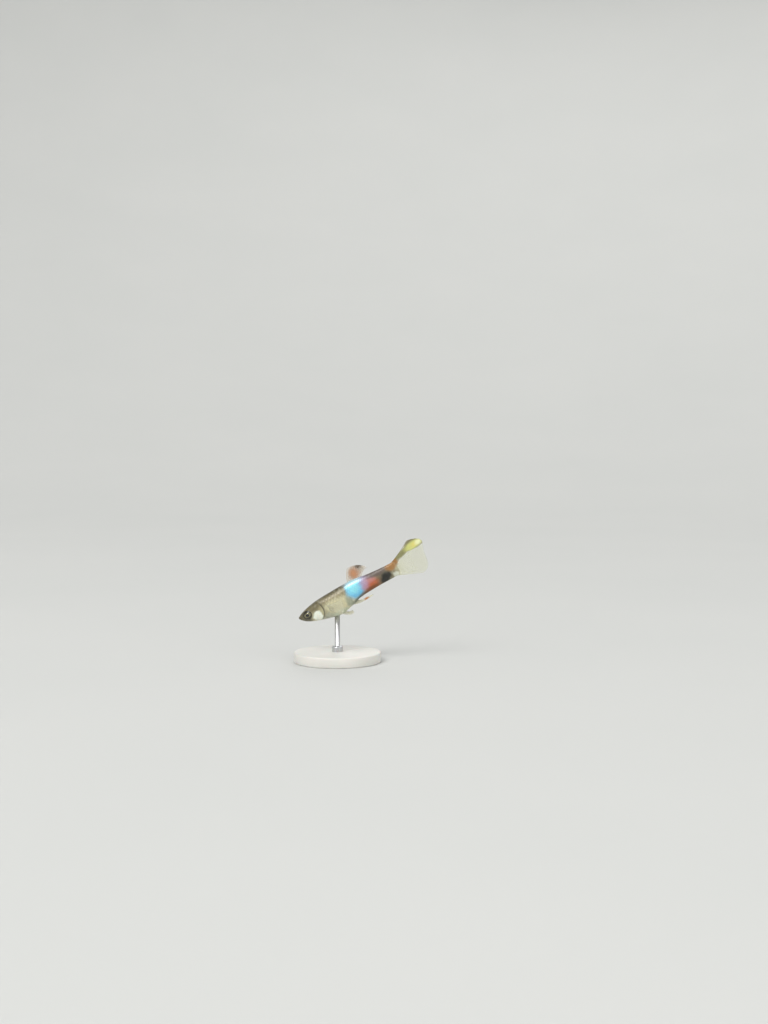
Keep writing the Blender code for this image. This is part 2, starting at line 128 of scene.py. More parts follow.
FIN_SINK, FIN_SEED = 0.14, 11  # how deep a fin's root lies under the skin
WAVE, WAVES_ACROSS, WAVES_OUT = 0.05, 1.7, 0.6
MEMBRANE_THICK, WEB_COLUMNS, WEB_ROWS, WEB_NOTCH, WEB_FRAY = 0.030, 8, 48, 0.007, 0.004
RAY_SEGMENT, RAY_ROOT, RAY_TIP, RAY_END, STRAND_SIDES = 0.24, 0.062, 0.030, 0.985, 6
STRAND_THIN = (1.0, 0.8, 0.62)  # a strand's share of the ray's radius after each fork
STRAND_FLAT, JOINT_PINCH, JOINT_DARK = 0.8, 0.06, 0.4
FIRST_FORK, SECOND_FORK = (0.36, 0.10), (0.64, 0.08)  # share of the way out, and how much it varies
FORK_OVERLAP, MOST_STRANDS = 0.02, 7
STRANDS = (((0, 0),), ((-1, 0), (1, 0)), ((-1, -1), (-1, 1), (1, -1), (1, 1)))

# Stand, and the floor that curves up far from it
FOOT_RADIUS, FOOT_HEIGHT, FOOT_BEVEL = 7.5, 1.8, 0.3
ROD_RADIUS, COLLAR_RADIUS, COLLAR_HEIGHT, ROD_SINK = 0.45, 0.95, 0.6, 0.5
TURNED_COLUMNS = 128
FLOOR_RADIUS, FLOOR_BEND, FLOOR_CURVE_STEPS = 300.0, 900.0, 49

# The photograph: the fish's scale there, its snout's pixel, and the camera
PHOTO_WIDTH, PHOTO_HEIGHT = 768, 1024
PIXELS_PER_MM = 5.84
SNOUT_PIXEL = (299.2, 619.3)
CAMERA_DISTANCE, CAMERA_ELEVATION = 270.0, math.radians(4.0)

# Lights: name, place from the aim, size in millimetres and power in watts
LIGHTS = (
    ("key", (-480.0, -720.0, 830.0), 650.0, 10.0),
    ("fill", (560.0, -450.0, 420.0), 500.0, 1.4),
    ("back", (150.0, 700.0, 750.0), 600.0, 2.6),
)
WORLD_COLOUR, WORLD_STRENGTH = (0.97, 0.985, 1.0, 1.0), 0.42


def srgb(red, green, blue):
    """A colour given as it looks on a screen, 0 to 255, as the linear colour that shaders take."""
    return tuple(
        c / 12.92 if c <= 0.04045 else ((c + 0.055) / 1.055) ** 2.4
        for c in (red / 255, green / 255, blue / 255)
    ) + (1.0,)


BELLY_COLOUR = srgb(205, 200, 168)
FLANK_COLOUR = srgb(150, 138, 104)
BACK_COLOUR = srgb(90, 83, 58)
RIM_COLOUR = srgb(70, 64, 48)
LIGHT_COLOUR = srgb(255, 252, 235)
SPECK_COLOUR = srgb(38, 34, 28)
LIP_COLOUR = srgb(120, 108, 80)
PEARL_SHADE = srgb(208, 222, 226)
# Painted shade: the colour laid into the mouth's parting, the nostrils, the gill slit and round the eye
# socket
CREVICE_SHADE_COLOUR = srgb(28, 22, 18)
PUPIL_COLOUR = (0.002, 0.002, 0.003, 1.0)
STRONG_MARK = 0.81  # markings stronger than this hide the scales' specks and sheen

# Markings of the flanks, with a painted highlight on the gill cover: middle, radii, tilt in degrees,
# softness, colour, strength and shine
MARKINGS = (
    ((0.4, -0.2), (2.05, 1.75), 0, 0.35, (75, 70, 48), 0.90, 0.08),
    ((3.2, 0.9), (1.6, 1.0), -10, 0.6, (92, 85, 57), 0.78, 0.12),
    ((7.0, -0.9), (2.5, 1.35), -4, 0.5, (224, 216, 176), 0.85, 0.30),
    ((4.7, -1.9), (1.8, 0.8), -15, 0.5, (176, 178, 164), 0.65, 0.35),
    ((7.2, -2.2), (1.3, 0.60), 0, 0.5, (206, 212, 184), 0.75, 0.35),
    ((4.45, -0.45), (0.60, 1.0), 0, 0.6, (156, 148, 114), 0.65, 0.15),
    # The gill cover's near-white disc: partly the cover's own silvery colour, partly a painted highlight
    # standing for its glint
    ((3.34, -0.80), (0.84, 0.84), 0, 0.20, (250, 253, 238), 0.98, 0.45),
    ((9.2, -1.1), (0.6, 1.1), 0, 0.5, (150, 158, 138), 0.75, 0.20),
    ((17.2, -0.6), (1.9, 1.0), 0, 0.4, (114, 106, 80), 0.80, 0.12),
    ((12.9, 0.70), (1.4, 1.0), -20, 0.4, (178, 158, 198), 0.85, 0.22),
    ((11.02, 0.35), (1.66, 1.70), 0, 0.30, (116, 202, 246), 0.97, 0.35),
    ((11.1, 1.60), (1.6, 0.50), -6, 0.6, (214, 236, 242), 0.85, 0.30),
    ((10.8, 0.55), (1.05, 0.95), 0, 0.7, (160, 242, 255), 0.92, 0.40),
    ((11.4, -1.48), (1.9, 0.42), 13, 0.5, (76, 92, 86), 0.88, 0.12),
    ((13.82, -0.35), (1.62, 0.95), 0, 0.35, (190, 92, 48), 0.95, 0.12),
    ((13.6, 0.50), (1.2, 0.50), -8, 0.6, (200, 138, 134), 0.80, 0.18),
    ((12.6, 0.30), (0.70, 1.0), 0, 0.7, (184, 166, 200), 0.65, 0.22),
    ((13.8, -1.08), (1.9, 0.48), 2, 0.6, (124, 72, 32), 0.90, 0.10),
    ((15.7, -0.20), (0.75, 1.10), 0, 0.6, (100, 84, 62), 0.85, 0.10),
    ((15.3, 1.05), (2.3, 0.62), -6, 0.4, (98, 82, 80), 0.84, 0.10),
    ((16.52, -0.45), (1.12, 0.78), 32, 0.4, (24, 24, 22), 0.98, 0.05),
    ((18.1, 0.82), (0.98, 0.82), 0, 0.40, (164, 114, 58), 0.94, 0.12),
    ((18.38, -0.95), (0.48, 0.50), 0, 0.5, (232, 232, 212), 0.90, 0.35),
)

# Markings of the fins: middle, radii, tilt in degrees, softness, colour and strength
TAIL_MARKS = (
    ((23.55, 2.45), (1.95, 0.95), 0, 0.25, (104, 92, 50), 0.88),
    ((20.7, 1.78), (2.4, 0.52), 14, 0.5, (128, 124, 74), 0.92),
    ((23.25, 2.18), (1.75, 0.66), 6, 0.35, (204, 206, 124), 0.97),
    ((23.5, 2.20), (0.7, 0.35), 8, 0.7, (224, 210, 118), 0.80),
    ((24.25, 2.20), (0.6, 0.42), 0, 0.6, (236, 238, 190), 0.85),
    ((18.9, 1.02), (0.75, 0.62), 0, 0.50, (164, 114, 58), 0.92),
    ((18.9, -1.0), (0.45, 0.45), 0, 0.5, (225, 225, 205), 0.80),
)
DORSAL_MARKS = (
    ((12.4, 2.9), (1.8, 1.1), 25, 0.6, (132, 106, 80), 0.60),
    ((11.95, 2.65), (0.85, 1.0), 0, 0.8, (190, 134, 94), 0.95),
    ((13.2, 3.5), (0.55, 0.45), 0, 0.7, (78, 58, 45), 0.85),
)
GONOPODIUM_MARKS = (
    ((11.95, -2.24), (0.45, 0.35), 0, 0.6, (186, 118, 60), 0.90),
    ((12.75, -2.18), (0.40, 0.35), 0, 0.6, (215, 215, 190), 0.85),
)


def spot(x, y, z):
    return np.stack(np.broadcast_arrays(x, y, z), -1).astype(float)


def mix(pair, share):
    """A value on the way from the first of a pair to the second."""
    return pair[0] + (pair[1] - pair[0]) * share


def turns(count):
    """Turns shared out evenly over a full circle."""
    return np.arange(count) / count * 2 * math.pi


def curve(places, values, at):
    """Cubic Hermite curve through the values, with slopes taken from the neighbours."""
    last = len(places) - 1
    k = np.arange(last + 1)
    low, high = np.maximum(k - 1, 0), np.minimum(k + 1, last)
    slope = (values[high] - values[low]) / (places[high] - places[low])
    at = np.clip(at, places[0], places[-1])
    i = np.clip(np.searchsorted(places, at, side="right") - 1, 0, last - 1)
    width = places[i + 1] - places[i]
    t = (at - places[i]) / width
    start = (2 * t**3 - 3 * t**2 + 1) * values[i] + (t**3 - 2 * t**2 + t) * width * slope[i]
    end = (3 * t**2 - 2 * t**3) * values[i + 1] + (t**3 - t**2) * width * slope[i + 1]
    return start + end


def section(x):
    """Back, belly, widest level, half-width and squareness at x. The root makes the nose round."""
    root = np.sqrt(np.maximum(x, 0.0))
    return [curve(np.sqrt(OUTLINE[:, 0]), OUTLINE[:, k], root) for k in range(1, 6)]


def round_power(value, power):
    return np.sign(value) * np.abs(value) ** power


def body_surface(x, turn):
    """Points of the body's surface. Turn 0 is the left side and a quarter turn is the back."""
    back, belly, level, half, square = section(x)
    up = np.sin(turn) > 0
    square = np.where(up, square, BELLY_SQUARENESS)
    height = np.where(up, back - level, level - belly)
    y = -half * round_power(np.cos(turn), 2 / square)
    return spot(x, y, level + height * round_power(np.sin(turn), 2 / square))


def side_at(x, z):
    """Half-width of the body at a height."""
    back, belly, level, half, square = section(x)
    square = np.where(z > level, square, BELLY_SQUARENESS)
    share = np.minimum(1.0, np.abs(z - level) / np.where(z > level, back - level, level - belly))
    return half * (1 - share**square) ** (1 / square)


def bottom_at(x, y):
    """Height of the belly's surface at a distance from the middle plane."""
    _, belly, level, half, _ = section(x)
    share = np.minimum(1.0, np.abs(y) / half)
    return level - (level - belly) * (1 - share**BELLY_SQUARENESS) ** (1 / BELLY_SQUARENESS)


def gill_edge(sine):
    """Where the gill cover ends, at the sine of a turn round the body."""
    middle, at_back, at_belly = GILL_EDGE
    return middle + np.where(sine > 0, at_back, at_belly) * sine**2


def step(value, low, high):
    """Smooth step from 0 to 1."""
    t = np.clip((value - low) / (high - low), 0.0, 1.0)
    return t * t * (3 - 2 * t)


def between(value, start, full, fade, end):
    """Smooth step from 0 to 1 and back to 0."""
    return step(value, start, full) * (1 - step(value, fade, end))


def hump(value, spread):
    return np.exp(-((value / spread) ** 2))


def gill_open(sine, cosine):
    """How far the gill cover stands off at a turn. It lies down before it reaches the back."""
    off = np.abs(cosine)
    return off * np.where(sine > 0, step(off, *GILL_LIES_DOWN), 1.0)


def bent(points):
    """Carries points of the straight fish to the gently curved one."""
    offset = points[..., 0] - STRAIGHT_AT
    heading = np.arctan(2 * BEND * offset)
    x = points[..., 0] - points[..., 1] * np.sin(heading)
    y = BEND * offset**2 + points[..., 1] * np.cos(heading)
    return np.stack((x, y, points[..., 2]), -1)


def to_world(points):
    """Bends the fish's points, tips them and gives them in the frame, in metres."""
    x, y, z = np.moveaxis(bent(points), -1, 0)
    tipped = (
        SNOUT_X + x * math.cos(PITCH) - z * math.sin(PITCH),
        y,
        SNOUT_Z + x * math.sin(PITCH) + z * math.cos(PITCH),
    )
    return np.stack(tipped, -1) * MM


class Shape:
    """One mesh in the making: its points, its faces, a flat map for bakes and stored vectors."""

    def __init__(self, *stored):
        self.points, self.spots, self.count = [], [], 0
        self.stored = {name: [] for name in stored}
        self.quads, self.quad_map = [], []
        self.triangles, self.triangle_map = [], []

    def add(self, points, spots, stored):
        """Takes in points of any arrangement and gives their numbers in the same one."""
        points = np.asarray(points, float)
        form = points.shape[:-1]
        self.points.append(points.reshape(-1, 3))
        self.spots.append(np.broadcast_to(spots, form + (2,)).reshape(-1, 2))
        for name, rows in self.stored.items():
            rows.append(np.broadcast_to(stored[name], points.shape).reshape(-1, 3))
        numbers = self.count + np.arange(points.size // 3).reshape(form)
        self.count += points.size // 3
        return numbers

    def grid(self, points, closed=False, area=(0.0, 0.0, 1.0, 1.0), **stored):
        """A sheet of points in rows, or a tube where each row is closed. area is its map."""
        rows, columns = points.shape[:2]
        wide = columns if closed else columns - 1
        low, size = np.array(area[:2]), np.array(area[2:]) - np.array(area[:2])
        i, j = np.mgrid[0:rows, 0:columns]
        numbers = self.add(points, low + np.stack((i / (rows - 1), j / wide), -1) * size, stored)
        i, j = np.mgrid[0 : rows - 1, 0:wide]
        down = np.stack((i, i + 1, i + 1, i), -1).reshape(-1, 4)
        over = np.stack((j, j, j + 1, j + 1), -1).reshape(-1, 4)
        self.quads.append(numbers[down, over % columns])
        self.quad_map.append(low + np.stack((down / (rows - 1), over / wide), -1) * size)
        return numbers

    def spots_of(self, numbers):
        """Places on the map of points, given by their numbers."""
        return np.concatenate(self.spots)[numbers]

    def fan(self, tip, loop, **stored):
        """Closes a loop of points with triangles to a tip."""
        spots = self.spots_of(loop)
        centre = self.add(tip, spots.mean(0), stored)
        self.triangles.append(np.stack((np.full(len(loop), centre), np.roll(loop, -1), loop), -1))
        middle = np.broadcast_to(spots.mean(0), spots.shape)
        self.triangle_map.append(np.stack((middle, np.roll(spots, -1, 0), spots), 1))

    def close_ends(self, numbers, tips, **stored):
        """Closes a tube with a fan at each end. The first and last of the tips and vectors count."""
        for end, loop in ((0, numbers[0][::-1]), (-1, numbers[-1])):
            self.fan(tips[end], loop, **{name: values[end] for name, values in stored.items()})

    def band(self, loop, other):
        """Joins two closed loops of points with four-sided faces, at the second one's place on the map."""
        spots = self.spots_of(other)
        self.quads.append(np.stack((loop, other, np.roll(other, -1), np.roll(loop, -1)), -1))
        beside = np.roll(spots, -1, 0)
        self.quad_map.append(np.stack((spots, spots, beside, beside), 1))

    def build(self, name, finish, slot=None, nodes=(), place=to_world):
        """Makes the object, facing outwards. It stands for the nodes named, or is only staging."""
        points = np.concatenate(self.points)
        faces = [np.concatenate(self.quads), np.concatenate(self.triangles)]
        places = [np.concatenate(self.quad_map), np.concatenate(self.triangle_map)]
        fans = np.concatenate((faces[0][:, [0, 1, 2]], faces[0][:, [0, 2, 3]], faces[1]))
        a, b, c = np.moveaxis(points[fans], 1, 0)
        if (a * np.cross(b, c)).sum() < 0:
            faces, places = ([group[:, ::-1] for group in groups] for groups in (faces, places))
        places = np.concatenate([group.reshape(-1, 2) for group in places])
        mesh = bpy.data.meshes.new(name)
        mesh.from_pydata(place(points), [], faces[0].tolist() + faces[1].tolist(), shade_flat=False)
        for key, rows in self.stored.items():
            attribute = mesh.attributes.new(key, "FLOAT_VECTOR", "POINT")
            attribute.data.foreach_set("vector", np.concatenate(rows).astype(np.float32).ravel())
        flat = mesh.uv_layers.new(name="OFBake")
        flat.uv.foreach_set("vector", places.astype(np.float32).ravel())
        mesh.materials.append(finish)
        piece = bpy.data.objects.new(name, mesh)
        bpy.context.scene.collection.objects.link(piece)
        if slot is None:
            return
        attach(piece, "root")
        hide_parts(*nodes)


class Paint:
    """Short ways to make the nodes of one material."""

    def __init__(self, name):
        self.material = bpy.data.materials.new(name)
        self.material.use_nodes = True
        self.tree = self.material.node_tree
        self.shader = self.tree.nodes["Principled BSDF"]

    def node(self, kind, inputs=(), **settings):
        made = self.tree.nodes.new("ShaderNode" + kind)
        for key, value in settings.items():
            setattr(made, key, value)
        for socket, value in dict(inputs).items():
            self.put(made.inputs[socket], value)
        return made

    def put(self, socket, value):
        if isinstance(value, bpy.types.NodeSocket):
            self.tree.links.new(value, socket)
        else:
            socket.default_value = value

    def set(self, **values):
        """Sets the shader's inputs, each named with underscores for spaces."""
        for key, value in values.items():
            self.put(self.shader.inputs[key.replace("_", " ")], value)

    def math(self, operation, *values):
        return self.node("Math", dict(enumerate(values)), operation=operation).outputs[0]

    def add(self, a, b):
        return self.math("ADD", a, b)

    def times(self, *values):
        return functools.reduce(lambda a, b: self.math("MULTIPLY", a, b), values)

    def stored(self, name):
        """The three parts of a stored vector, and the vector itself."""
        vector = self.node("Attribute", attribute_name=name).outputs["Vector"]
        return (*self.node("SeparateXYZ", {"Vector": vector}).outputs, vector)

    def object_place(self):
        return self.node("TexCoord").outputs["Object"]

    def ramp(self, value, low, high, start=0.0, end=1.0):
        """A smooth step of value, from start at low to end at high."""
        if low > high:
            low, high, start, end = high, low, end, start
        inputs = {"Value": value, "From Min": low, "From Max": high, "To Min": start, "To Max": end}
        made = self.node("MapRange", inputs, interpolation_type="SMOOTHSTEP")
        return made.outputs["Result"]

    def noise(self, vector, scale, detail=2.0, rough=0.5):
        inputs = {"Vector": vector, "Scale": scale, "Detail": detail, "Roughness": rough}
        return self.node("TexNoise", inputs).outputs["Fac"]

    def sway(self, value, noise, amount):
        """The value, carried a little up and down by a noise."""
        return self.add(value, self.times(self.add(noise, -0.5), amount))

    def blend(self, share, under, over, how="MIX"):
        inputs = {"Factor": share, 6: under, 7: over}
        settings = {"data_type": "RGBA", "blend_type": how, "clamp_factor": True}
        return self.node("Mix", inputs, **settings).outputs[2]

    def patch(self, x, z, centre, radii, tilt=0.0, soft=0.35):
        """How far a place lies inside a soft oval, tilted by degrees."""
        sine, cosine = math.sin(math.radians(tilt)), math.cos(math.radians(tilt))
        dx, dz = self.add(x, -centre[0]), self.add(z, -centre[1])
        squares = []
        for radius, x_share, z_share in ((radii[0], cosine, sine), (radii[1], -sine, cosine)):
            part = self.add(self.times(dx, x_share / radius), self.times(dz, z_share / radius))
            squares.append(self.times(part, part))
        return self.ramp(self.math("SQRT", self.add(*squares)), 1 + soft, 1 - soft)

    def bump(self, height, distance, strength=1.0):
        inputs = {"Height": height, "Distance": distance, "Strength": strength}
        self.set(Normal=self.node("Bump", inputs).outputs["Normal"])


def lengths_along(points):
    """How far each point of a row lies from the first one, along the row."""
    return np.concatenate(([0.0], np.cumsum(np.linalg.norm(np.diff(points, axis=0), axis=1))))


def ring_points(x_of):
    """One ring of points, shared out evenly from the back down the left side and round.

    x_of gives x for the sine of a turn. A row holds x, y, z and the turn's sine and cosine.
    """
    turn = math.pi / 2 - np.linspace(0, 2 * math.pi, ROUND_STEPS + 1)
    dense = body_surface(x_of(np.sin(turn)), turn)
    length = lengths_along(dense)
    wanted = np.arange(COLUMNS) / COLUMNS * length[-1]
    measured = (*dense.T, np.sin(turn), np.cos(turn))
    return np.stack([np.interp(wanted, length, row) for row in measured], -1)


def level_ring(x):
    return ring_points(lambda sine: x)


def stalk_ring(share):
    """A ring where the skin thins out over the tail fin's rays, share of the way."""
    ring = level_ring(STANDARD_LENGTH)
    height = ring[:, 2] / OUTLINE[-1, 1]
    ring[:, 0] += STALK_TAPER * share * (1 - STALK_CURVE * height**2)
    ring[:, 1] *= 1 - STALK_THIN * share**1.5
    ring[:, 2] *= 1 + STALK_SPREAD * share
    return ring


def normals_of(rings):
    """Unit normals of closed rings of points, pointing out of the body."""
    around = np.roll(rings, -1, 1) - np.roll(rings, 1, 1)
    normal = np.cross(around, np.gradient(rings, axis=0))
    normal /= np.maximum(np.linalg.norm(normal, axis=-1, keepdims=True), 1e-9)
    outward = (normal[..., 1] * rings[..., 1]).mean()
    return normal * np.sign(outward)


class Body:
    """The body's surface, measured once at many places, for what lies on it."""

    def __init__(self):
        trunk = np.linspace(2.0, STANDARD_LENGTH, BODY_STATIONS)
        self.stations = np.concatenate((trunk, STANDARD_LENGTH + STALK_TAPER * STALK_SHARES))
        rings = np.array([level_ring(x) for x in trunk] + [stalk_ring(k) for k in STALK_SHARES])
        self.table = np.concatenate((rings, normals_of(rings[..., :3])), -1)
        across = np.diff(np.concatenate((rings, rings[:, :1]), 1)[..., :3], axis=1)
        around = np.linalg.norm(across, axis=2).sum(1)
        pitch = SCALE_LENGTH * around / SCALE_ROWS
        steps = np.diff(self.stations) / ((pitch[1:] + pitch[:-1]) / 2)
        self.counts = np.concatenate(([0.0], np.cumsum(steps)))

    def at(self, along, row):
        """Point, sine, cosine and normal, where along counts scales and row their rows."""
        i = np.interp(along, self.counts, np.arange(len(self.stations)))
        j = row / SCALE_ROWS * COLUMNS
        low_i = np.minimum(i.astype(int), len(self.stations) - 2)
        low_j = np.floor(j).astype(int)
        share_i, share_j = (i - low_i)[..., None], (j - low_j)[..., None]
        here, beside = low_j % COLUMNS, (low_j + 1) % COLUMNS
        edges = [mix((self.table[k, here], self.table[k, beside]), share_j) for k in (low_i, low_i + 1)]
        found = mix(edges, share_i)
        return found[..., :3], found[..., 3], found[..., 4], found[..., 5:]


def lip_lines(x, z):
    """Height above the parting of the lips, and how near the mouth a place is."""
    away = z - MOUTH_TIP_Z - MOUTH_SLOPE * x
    return away, hump(np.maximum(x - MOUTH_LENGTH, 0.0), LIP_SPREAD)


def nostril_reach(x, y, z):
    """Distance from the middle of the front nostril and from that of the slit behind it."""
    back, out = x - NOSTRIL_X, np.abs(y) - NOSTRIL_Y
    below = np.where(z > NOSTRIL_LEVEL, 0.0, FAR)
    return np.hypot(back, out) + below, np.hypot((back - SLIT_BACK) / SLIT_STRETCH, out - SLIT_OUT) + below


def eye_reach(x, y, z):
    """Distance from the middle of the eye on the head's side."""
    return np.hypot(x - EYE_X, z - EYE_Z) + np.where(np.abs(y) > 0.35, 0.0, FAR)


def relief(base, sine, cosine, on_trunk):
    """How far the skin stands out of the plain body: lips, creases, sockets and fin bases."""
    x, y, z = np.moveaxis(base, -1, 0)
    away, near = lip_lines(x, z)
    in_mouth = 1 - step(x, MOUTH_LENGTH - 0.08, MOUTH_LENGTH + 0.03)
    front, rear = nostril_reach(x, y, z)
    eye = eye_reach(x, y, z) - EYE_RADIUS
    cheek, angle = np.hypot(x - CHEEK_X, z - CHEEK_Z), np.degrees(np.arctan2(z - CHEEK_Z, x - CHEEK_X))
    on_cheek = between(angle, -150, -120, 10, 45) * step(np.abs(y), 0.25, 0.5)
    past_edge, gills = x - gill_edge(sine), gill_open(sine, cosine)
    arm = hump(z - (PECTORAL_TOP + PECTORAL_BOTTOM) / 2, 0.5) * (np.abs(y) > 0.6)
    hip = np.hypot(x - PELVIC_X - 0.2, np.abs(y) - PELVIC_Y)

    # Ridges and grooves: distance from the middle of each, its width, its height and where it runs
    ridges = (
        (np.abs(away) - LIP_OFFSET, LIP_SPREAD, LIP_RISE, near),
        (np.abs(away) - 0.31, 0.05, -0.02, near),
        (away, 0.034, -0.30, in_mouth),
        (front - 0.115, 0.03, 0.022, 1),
        (front, 0.06, -0.10, 1),
        (rear, 0.06, -0.05, 1),
        (eye - 0.09, 0.06, 0.035, 1),
        (cheek - 0.98, 0.14, 0.02, on_cheek),
        (cheek - 1.18, 0.045, -0.035, on_cheek),
        (z - JAW_Z - JAW_SLOPE * x, 0.05, -0.02, between(x, 0.5, 0.7, 1.5, 2.1)),
        (past_edge, GILL_SLIT, -GILL_TROUGH, gills * on_trunk),
        (y, 0.17, 0.06, between(x, 10.1, 10.5, 12.6, 13.1) * (z > 0)),
        (y, 0.17, 0.07, between(x, 9.2, 9.5, 10.3, 10.7) * (z < -1)),
        (x - PECTORAL_X - 0.05, 0.2, 0.07, arm),
        (hip, 0.3, 0.05, z < -1),
    )
    rise = sum(height * hump(line, width) * where for line, width, height, where in ridges)
    rise -= SOCKET_DEPTH * (1 - step(eye, -0.06, 0.02))
    flare = GILL_FLARE * np.maximum(0.0, 1 + past_edge / GILL_FLARE_LENGTH)
    return rise + np.where(on_trunk, 0.0, flare) * gills


def crevice_shade_and_lips(base, sine, cosine, on_trunk):
    """How much painted shade and how pink each place is, for the materials: shade in partings, pits, slits
    and the eye's socket, pink on the lips.
    """
    x, y, z = np.moveaxis(base, -1, 0)
    away, near = lip_lines(x, z)
    front, rear = nostril_reach(x, y, z)
    mouth = hump(away, 0.05) * (1 - step(x, MOUTH_LENGTH - 0.06, MOUTH_LENGTH + 0.04))
    slit = hump(x - gill_edge(sine), np.where(on_trunk, GILL_SLIT, 0.03)) * gill_open(sine, cosine)
    socket = hump(eye_reach(x, y, z) - EYE_RADIUS + 0.01, 0.055)
    # Painted shade in the mouth's parting, the nostril pits, the gill slit and the rim of the eye socket
    crevice_shade = np.clip(mouth + hump(front, 0.08) + hump(rear, 0.06) + 0.85 * slit + socket, 0, 1)
    lips = hump(np.abs(away) - LIP_OFFSET, LIP_SPREAD) * near
    return spot(crevice_shade, lips, 0.0)


def scale_cover(x, sine, on_trunk):
    """How strongly scales show at a place: fully on the trunk, and fading out over the nape."""
    thinning = STALK_COVER * step(x, STANDARD_LENGTH - STALK_FADE, STANDARD_LENGTH + STALK_FADE)
    return np.where(on_trunk, 1 - thinning, step(x, *NAPE_FADE) * step(sine, *NAPE_SINES))


def rings_between(start, end, shares):
    """Rings on the way between two edges of the body, each given as x for the sine of a turn."""
    return [ring_points(lambda sine: mix((start(sine), end(sine)), share)) for share in shares]


def make_skin(finish):
    """One skin from the lips to the root of the tail fin."""
    head_shares = (np.arange(1, HEAD_RINGS + 1) / HEAD_RINGS) ** 2
    rings = rings_between(np.zeros_like, gill_edge, head_shares)
    rings += rings_between(
        lambda sine: gill_edge(sine) + GILL_STEP,
        lambda sine: STANDARD_LENGTH,
        np.linspace(0, 1, TRUNK_RINGS),
    )
    rings = np.array(rings + [stalk_ring(share) for share in STALK_SHARES])
    base, sine, cosine = rings[..., :3], rings[..., 3], rings[..., 4]
    on_trunk = (np.arange(len(rings)) >= HEAD_RINGS)[:, None]
    sunk = SKIN_SINK * scale_cover(base[..., 0], sine, on_trunk)
    rise = relief(base, sine, cosine, on_trunk) - sunk
    shaped = base + normals_of(base) * rise[..., None]
    # Painted shade in creases and pits, and the lips' tint
    crevice_shade = crevice_shade_and_lips(base, sine, cosine, on_trunk)

    shape = Shape("fish", "scales", "form")
    bare = (1.0, 0.5, 0.0)
    area = (0.02, 0.0, 0.98, 0.6)
    numbers = shape.grid(shaped, closed=True, area=area, fish=base, scales=bare, form=crevice_shade)
    tips = ((0.0, 0.0, OUTLINE[0, 3]), shaped[-1].mean(0))
    shape.close_ends(numbers, tips, fish=tips, scales=(bare, bare), form=crevice_shade[:, 0])
    shape.build("skin", finish, "belly_skin", ("head", "trunk_front", "trunk_rear", "tail_stalk"))


def scale_outline():
    """Where a scale's points lie: across its row, share of the way back, and its free edge's reach."""
    across = np.sin(np.linspace(-1, 1, SCALE_POINTS_ACROSS) * math.pi / 2)
    reach = SCALE_CORNER + SCALE_BULGE * np.sqrt(np.clip(1 - across**2, 0, 1))
    back = 1 - (1 - np.linspace(0, 1, SCALE_POINTS_ALONG)) ** SCALE_CROWDING
    return across, back[:, None], reach


def scale_place(body, row, column):
    """How strongly a scale shows, whether it lies on the trunk, and its turn's sine and cosine."""
    (x, _, _), sine, cosine, _ = body.at(np.array(float(column)), np.array(float(row)))
    on_trunk = bool(x > gill_edge(sine) + SCALE_GILL_CLEAR)
    return float(scale_cover(x, sine, on_trunk)), on_trunk, float(sine), float(cosine)


def edge_of(grid):
    """The outermost points of a grid, in order once round it."""
    sides = np.s_[0, :], np.s_[1:-1, -1], np.s_[-1, ::-1], np.s_[-2:0:-1, 0]
    return np.concatenate([grid[side] for side in sides])


def add_scale(shape, body, row, column, own, area):
    """One thin closed plate, which lies on the plates behind it and dips under the one before."""
    cover, on_trunk, sine, _ = scale_place(body, row, column)
    if cover < SCALE_FAINTEST:
        return
    ahead, ahead_on_trunk, ahead_sine, cosine = scale_place(body, row, max(column - 1.0, 0.0))
    if on_trunk and not ahead_on_trunk:
        ahead = max(ahead, float(gill_open(ahead_sine, cosine)))
    bare_front = 1 - min(1.0, ahead / cover)

    side, back, reach = scale_outline()
    along_row = column - SCALE_ROOT + (SCALE_ROOT + reach) * back
    behind = column + reach - along_row
    across = np.broadcast_to(row + side * SCALE_WIDTH, along_row.shape)
    base, sines, cosines, normal = body.at(along_row, across)
    past_gills = (base[..., 0] > gill_edge(sines) - NAPE_GILL_CLEAR).any()
    if past_gills and not on_trunk and sine < 0.6:
        return
    rise = SCALE_RISE * cover * (1 - behind / SCALE_FALL - SCALE_TUCK * side**4)
    rise[-1] *= SCALE_EDGE
    dive = cover * (1 - step(back, 0.0, 0.35)) + bare_front * step(behind, 0.25, 0.75)
    rise -= 2 * SKIN_SINK * dive
    form = relief(base, sines, cosines, on_trunk)
    top = base + normal * (form + rise)[..., None]
    low = base + normal * (form - SCALE_DEPTH)[..., None]

    stored = {
        "fish": base,
        "scales": spot(behind, own, cover),
        # Painted shade in creases and pits, and the lips' tint
        "form": crevice_shade_and_lips(base, sines, cosines, on_trunk),
    }
    loop = edge_of(shape.grid(top, area=area, **stored))
    edge = {name: edge_of(values) for name, values in stored.items()}
    under = shape.add(edge_of(low), shape.spots_of(loop), edge)
    shape.band(loop[::-1], under[::-1])
    middle = {name: values.mean(0) for name, values in edge.items()}
    shape.fan(low.mean((0, 1)), under[::-1], **middle)


def make_scales(body, finish):
    """Thin overlapping plates over the trunk and the nape, in one piece for each side."""
    columns, rows = int(body.counts[-1]), SCALE_ROWS // 2
    draw = np.random.default_rng(SCALE_SEED)
    share = np.array((columns + 1, rows))
    for name, first in (("scales_left", 0), ("scales_right", rows)):
        shape = Shape("fish", "scales", "form")
        for row in range(rows):
            for k in range(1, columns):
                column = k + 0.5 * ((first + row) % 2)
                low = (np.array((column - 0.5, row)) + MAP_MARGIN) / share
                area = (*low, *(low + (1 - 2 * MAP_MARGIN) / share))
                add_scale(shape, body, first + row, column, draw.random(), area)
        shape.build(name, finish, "belly_skin", ("trunk_front", "trunk_rear", "tail_stalk"))


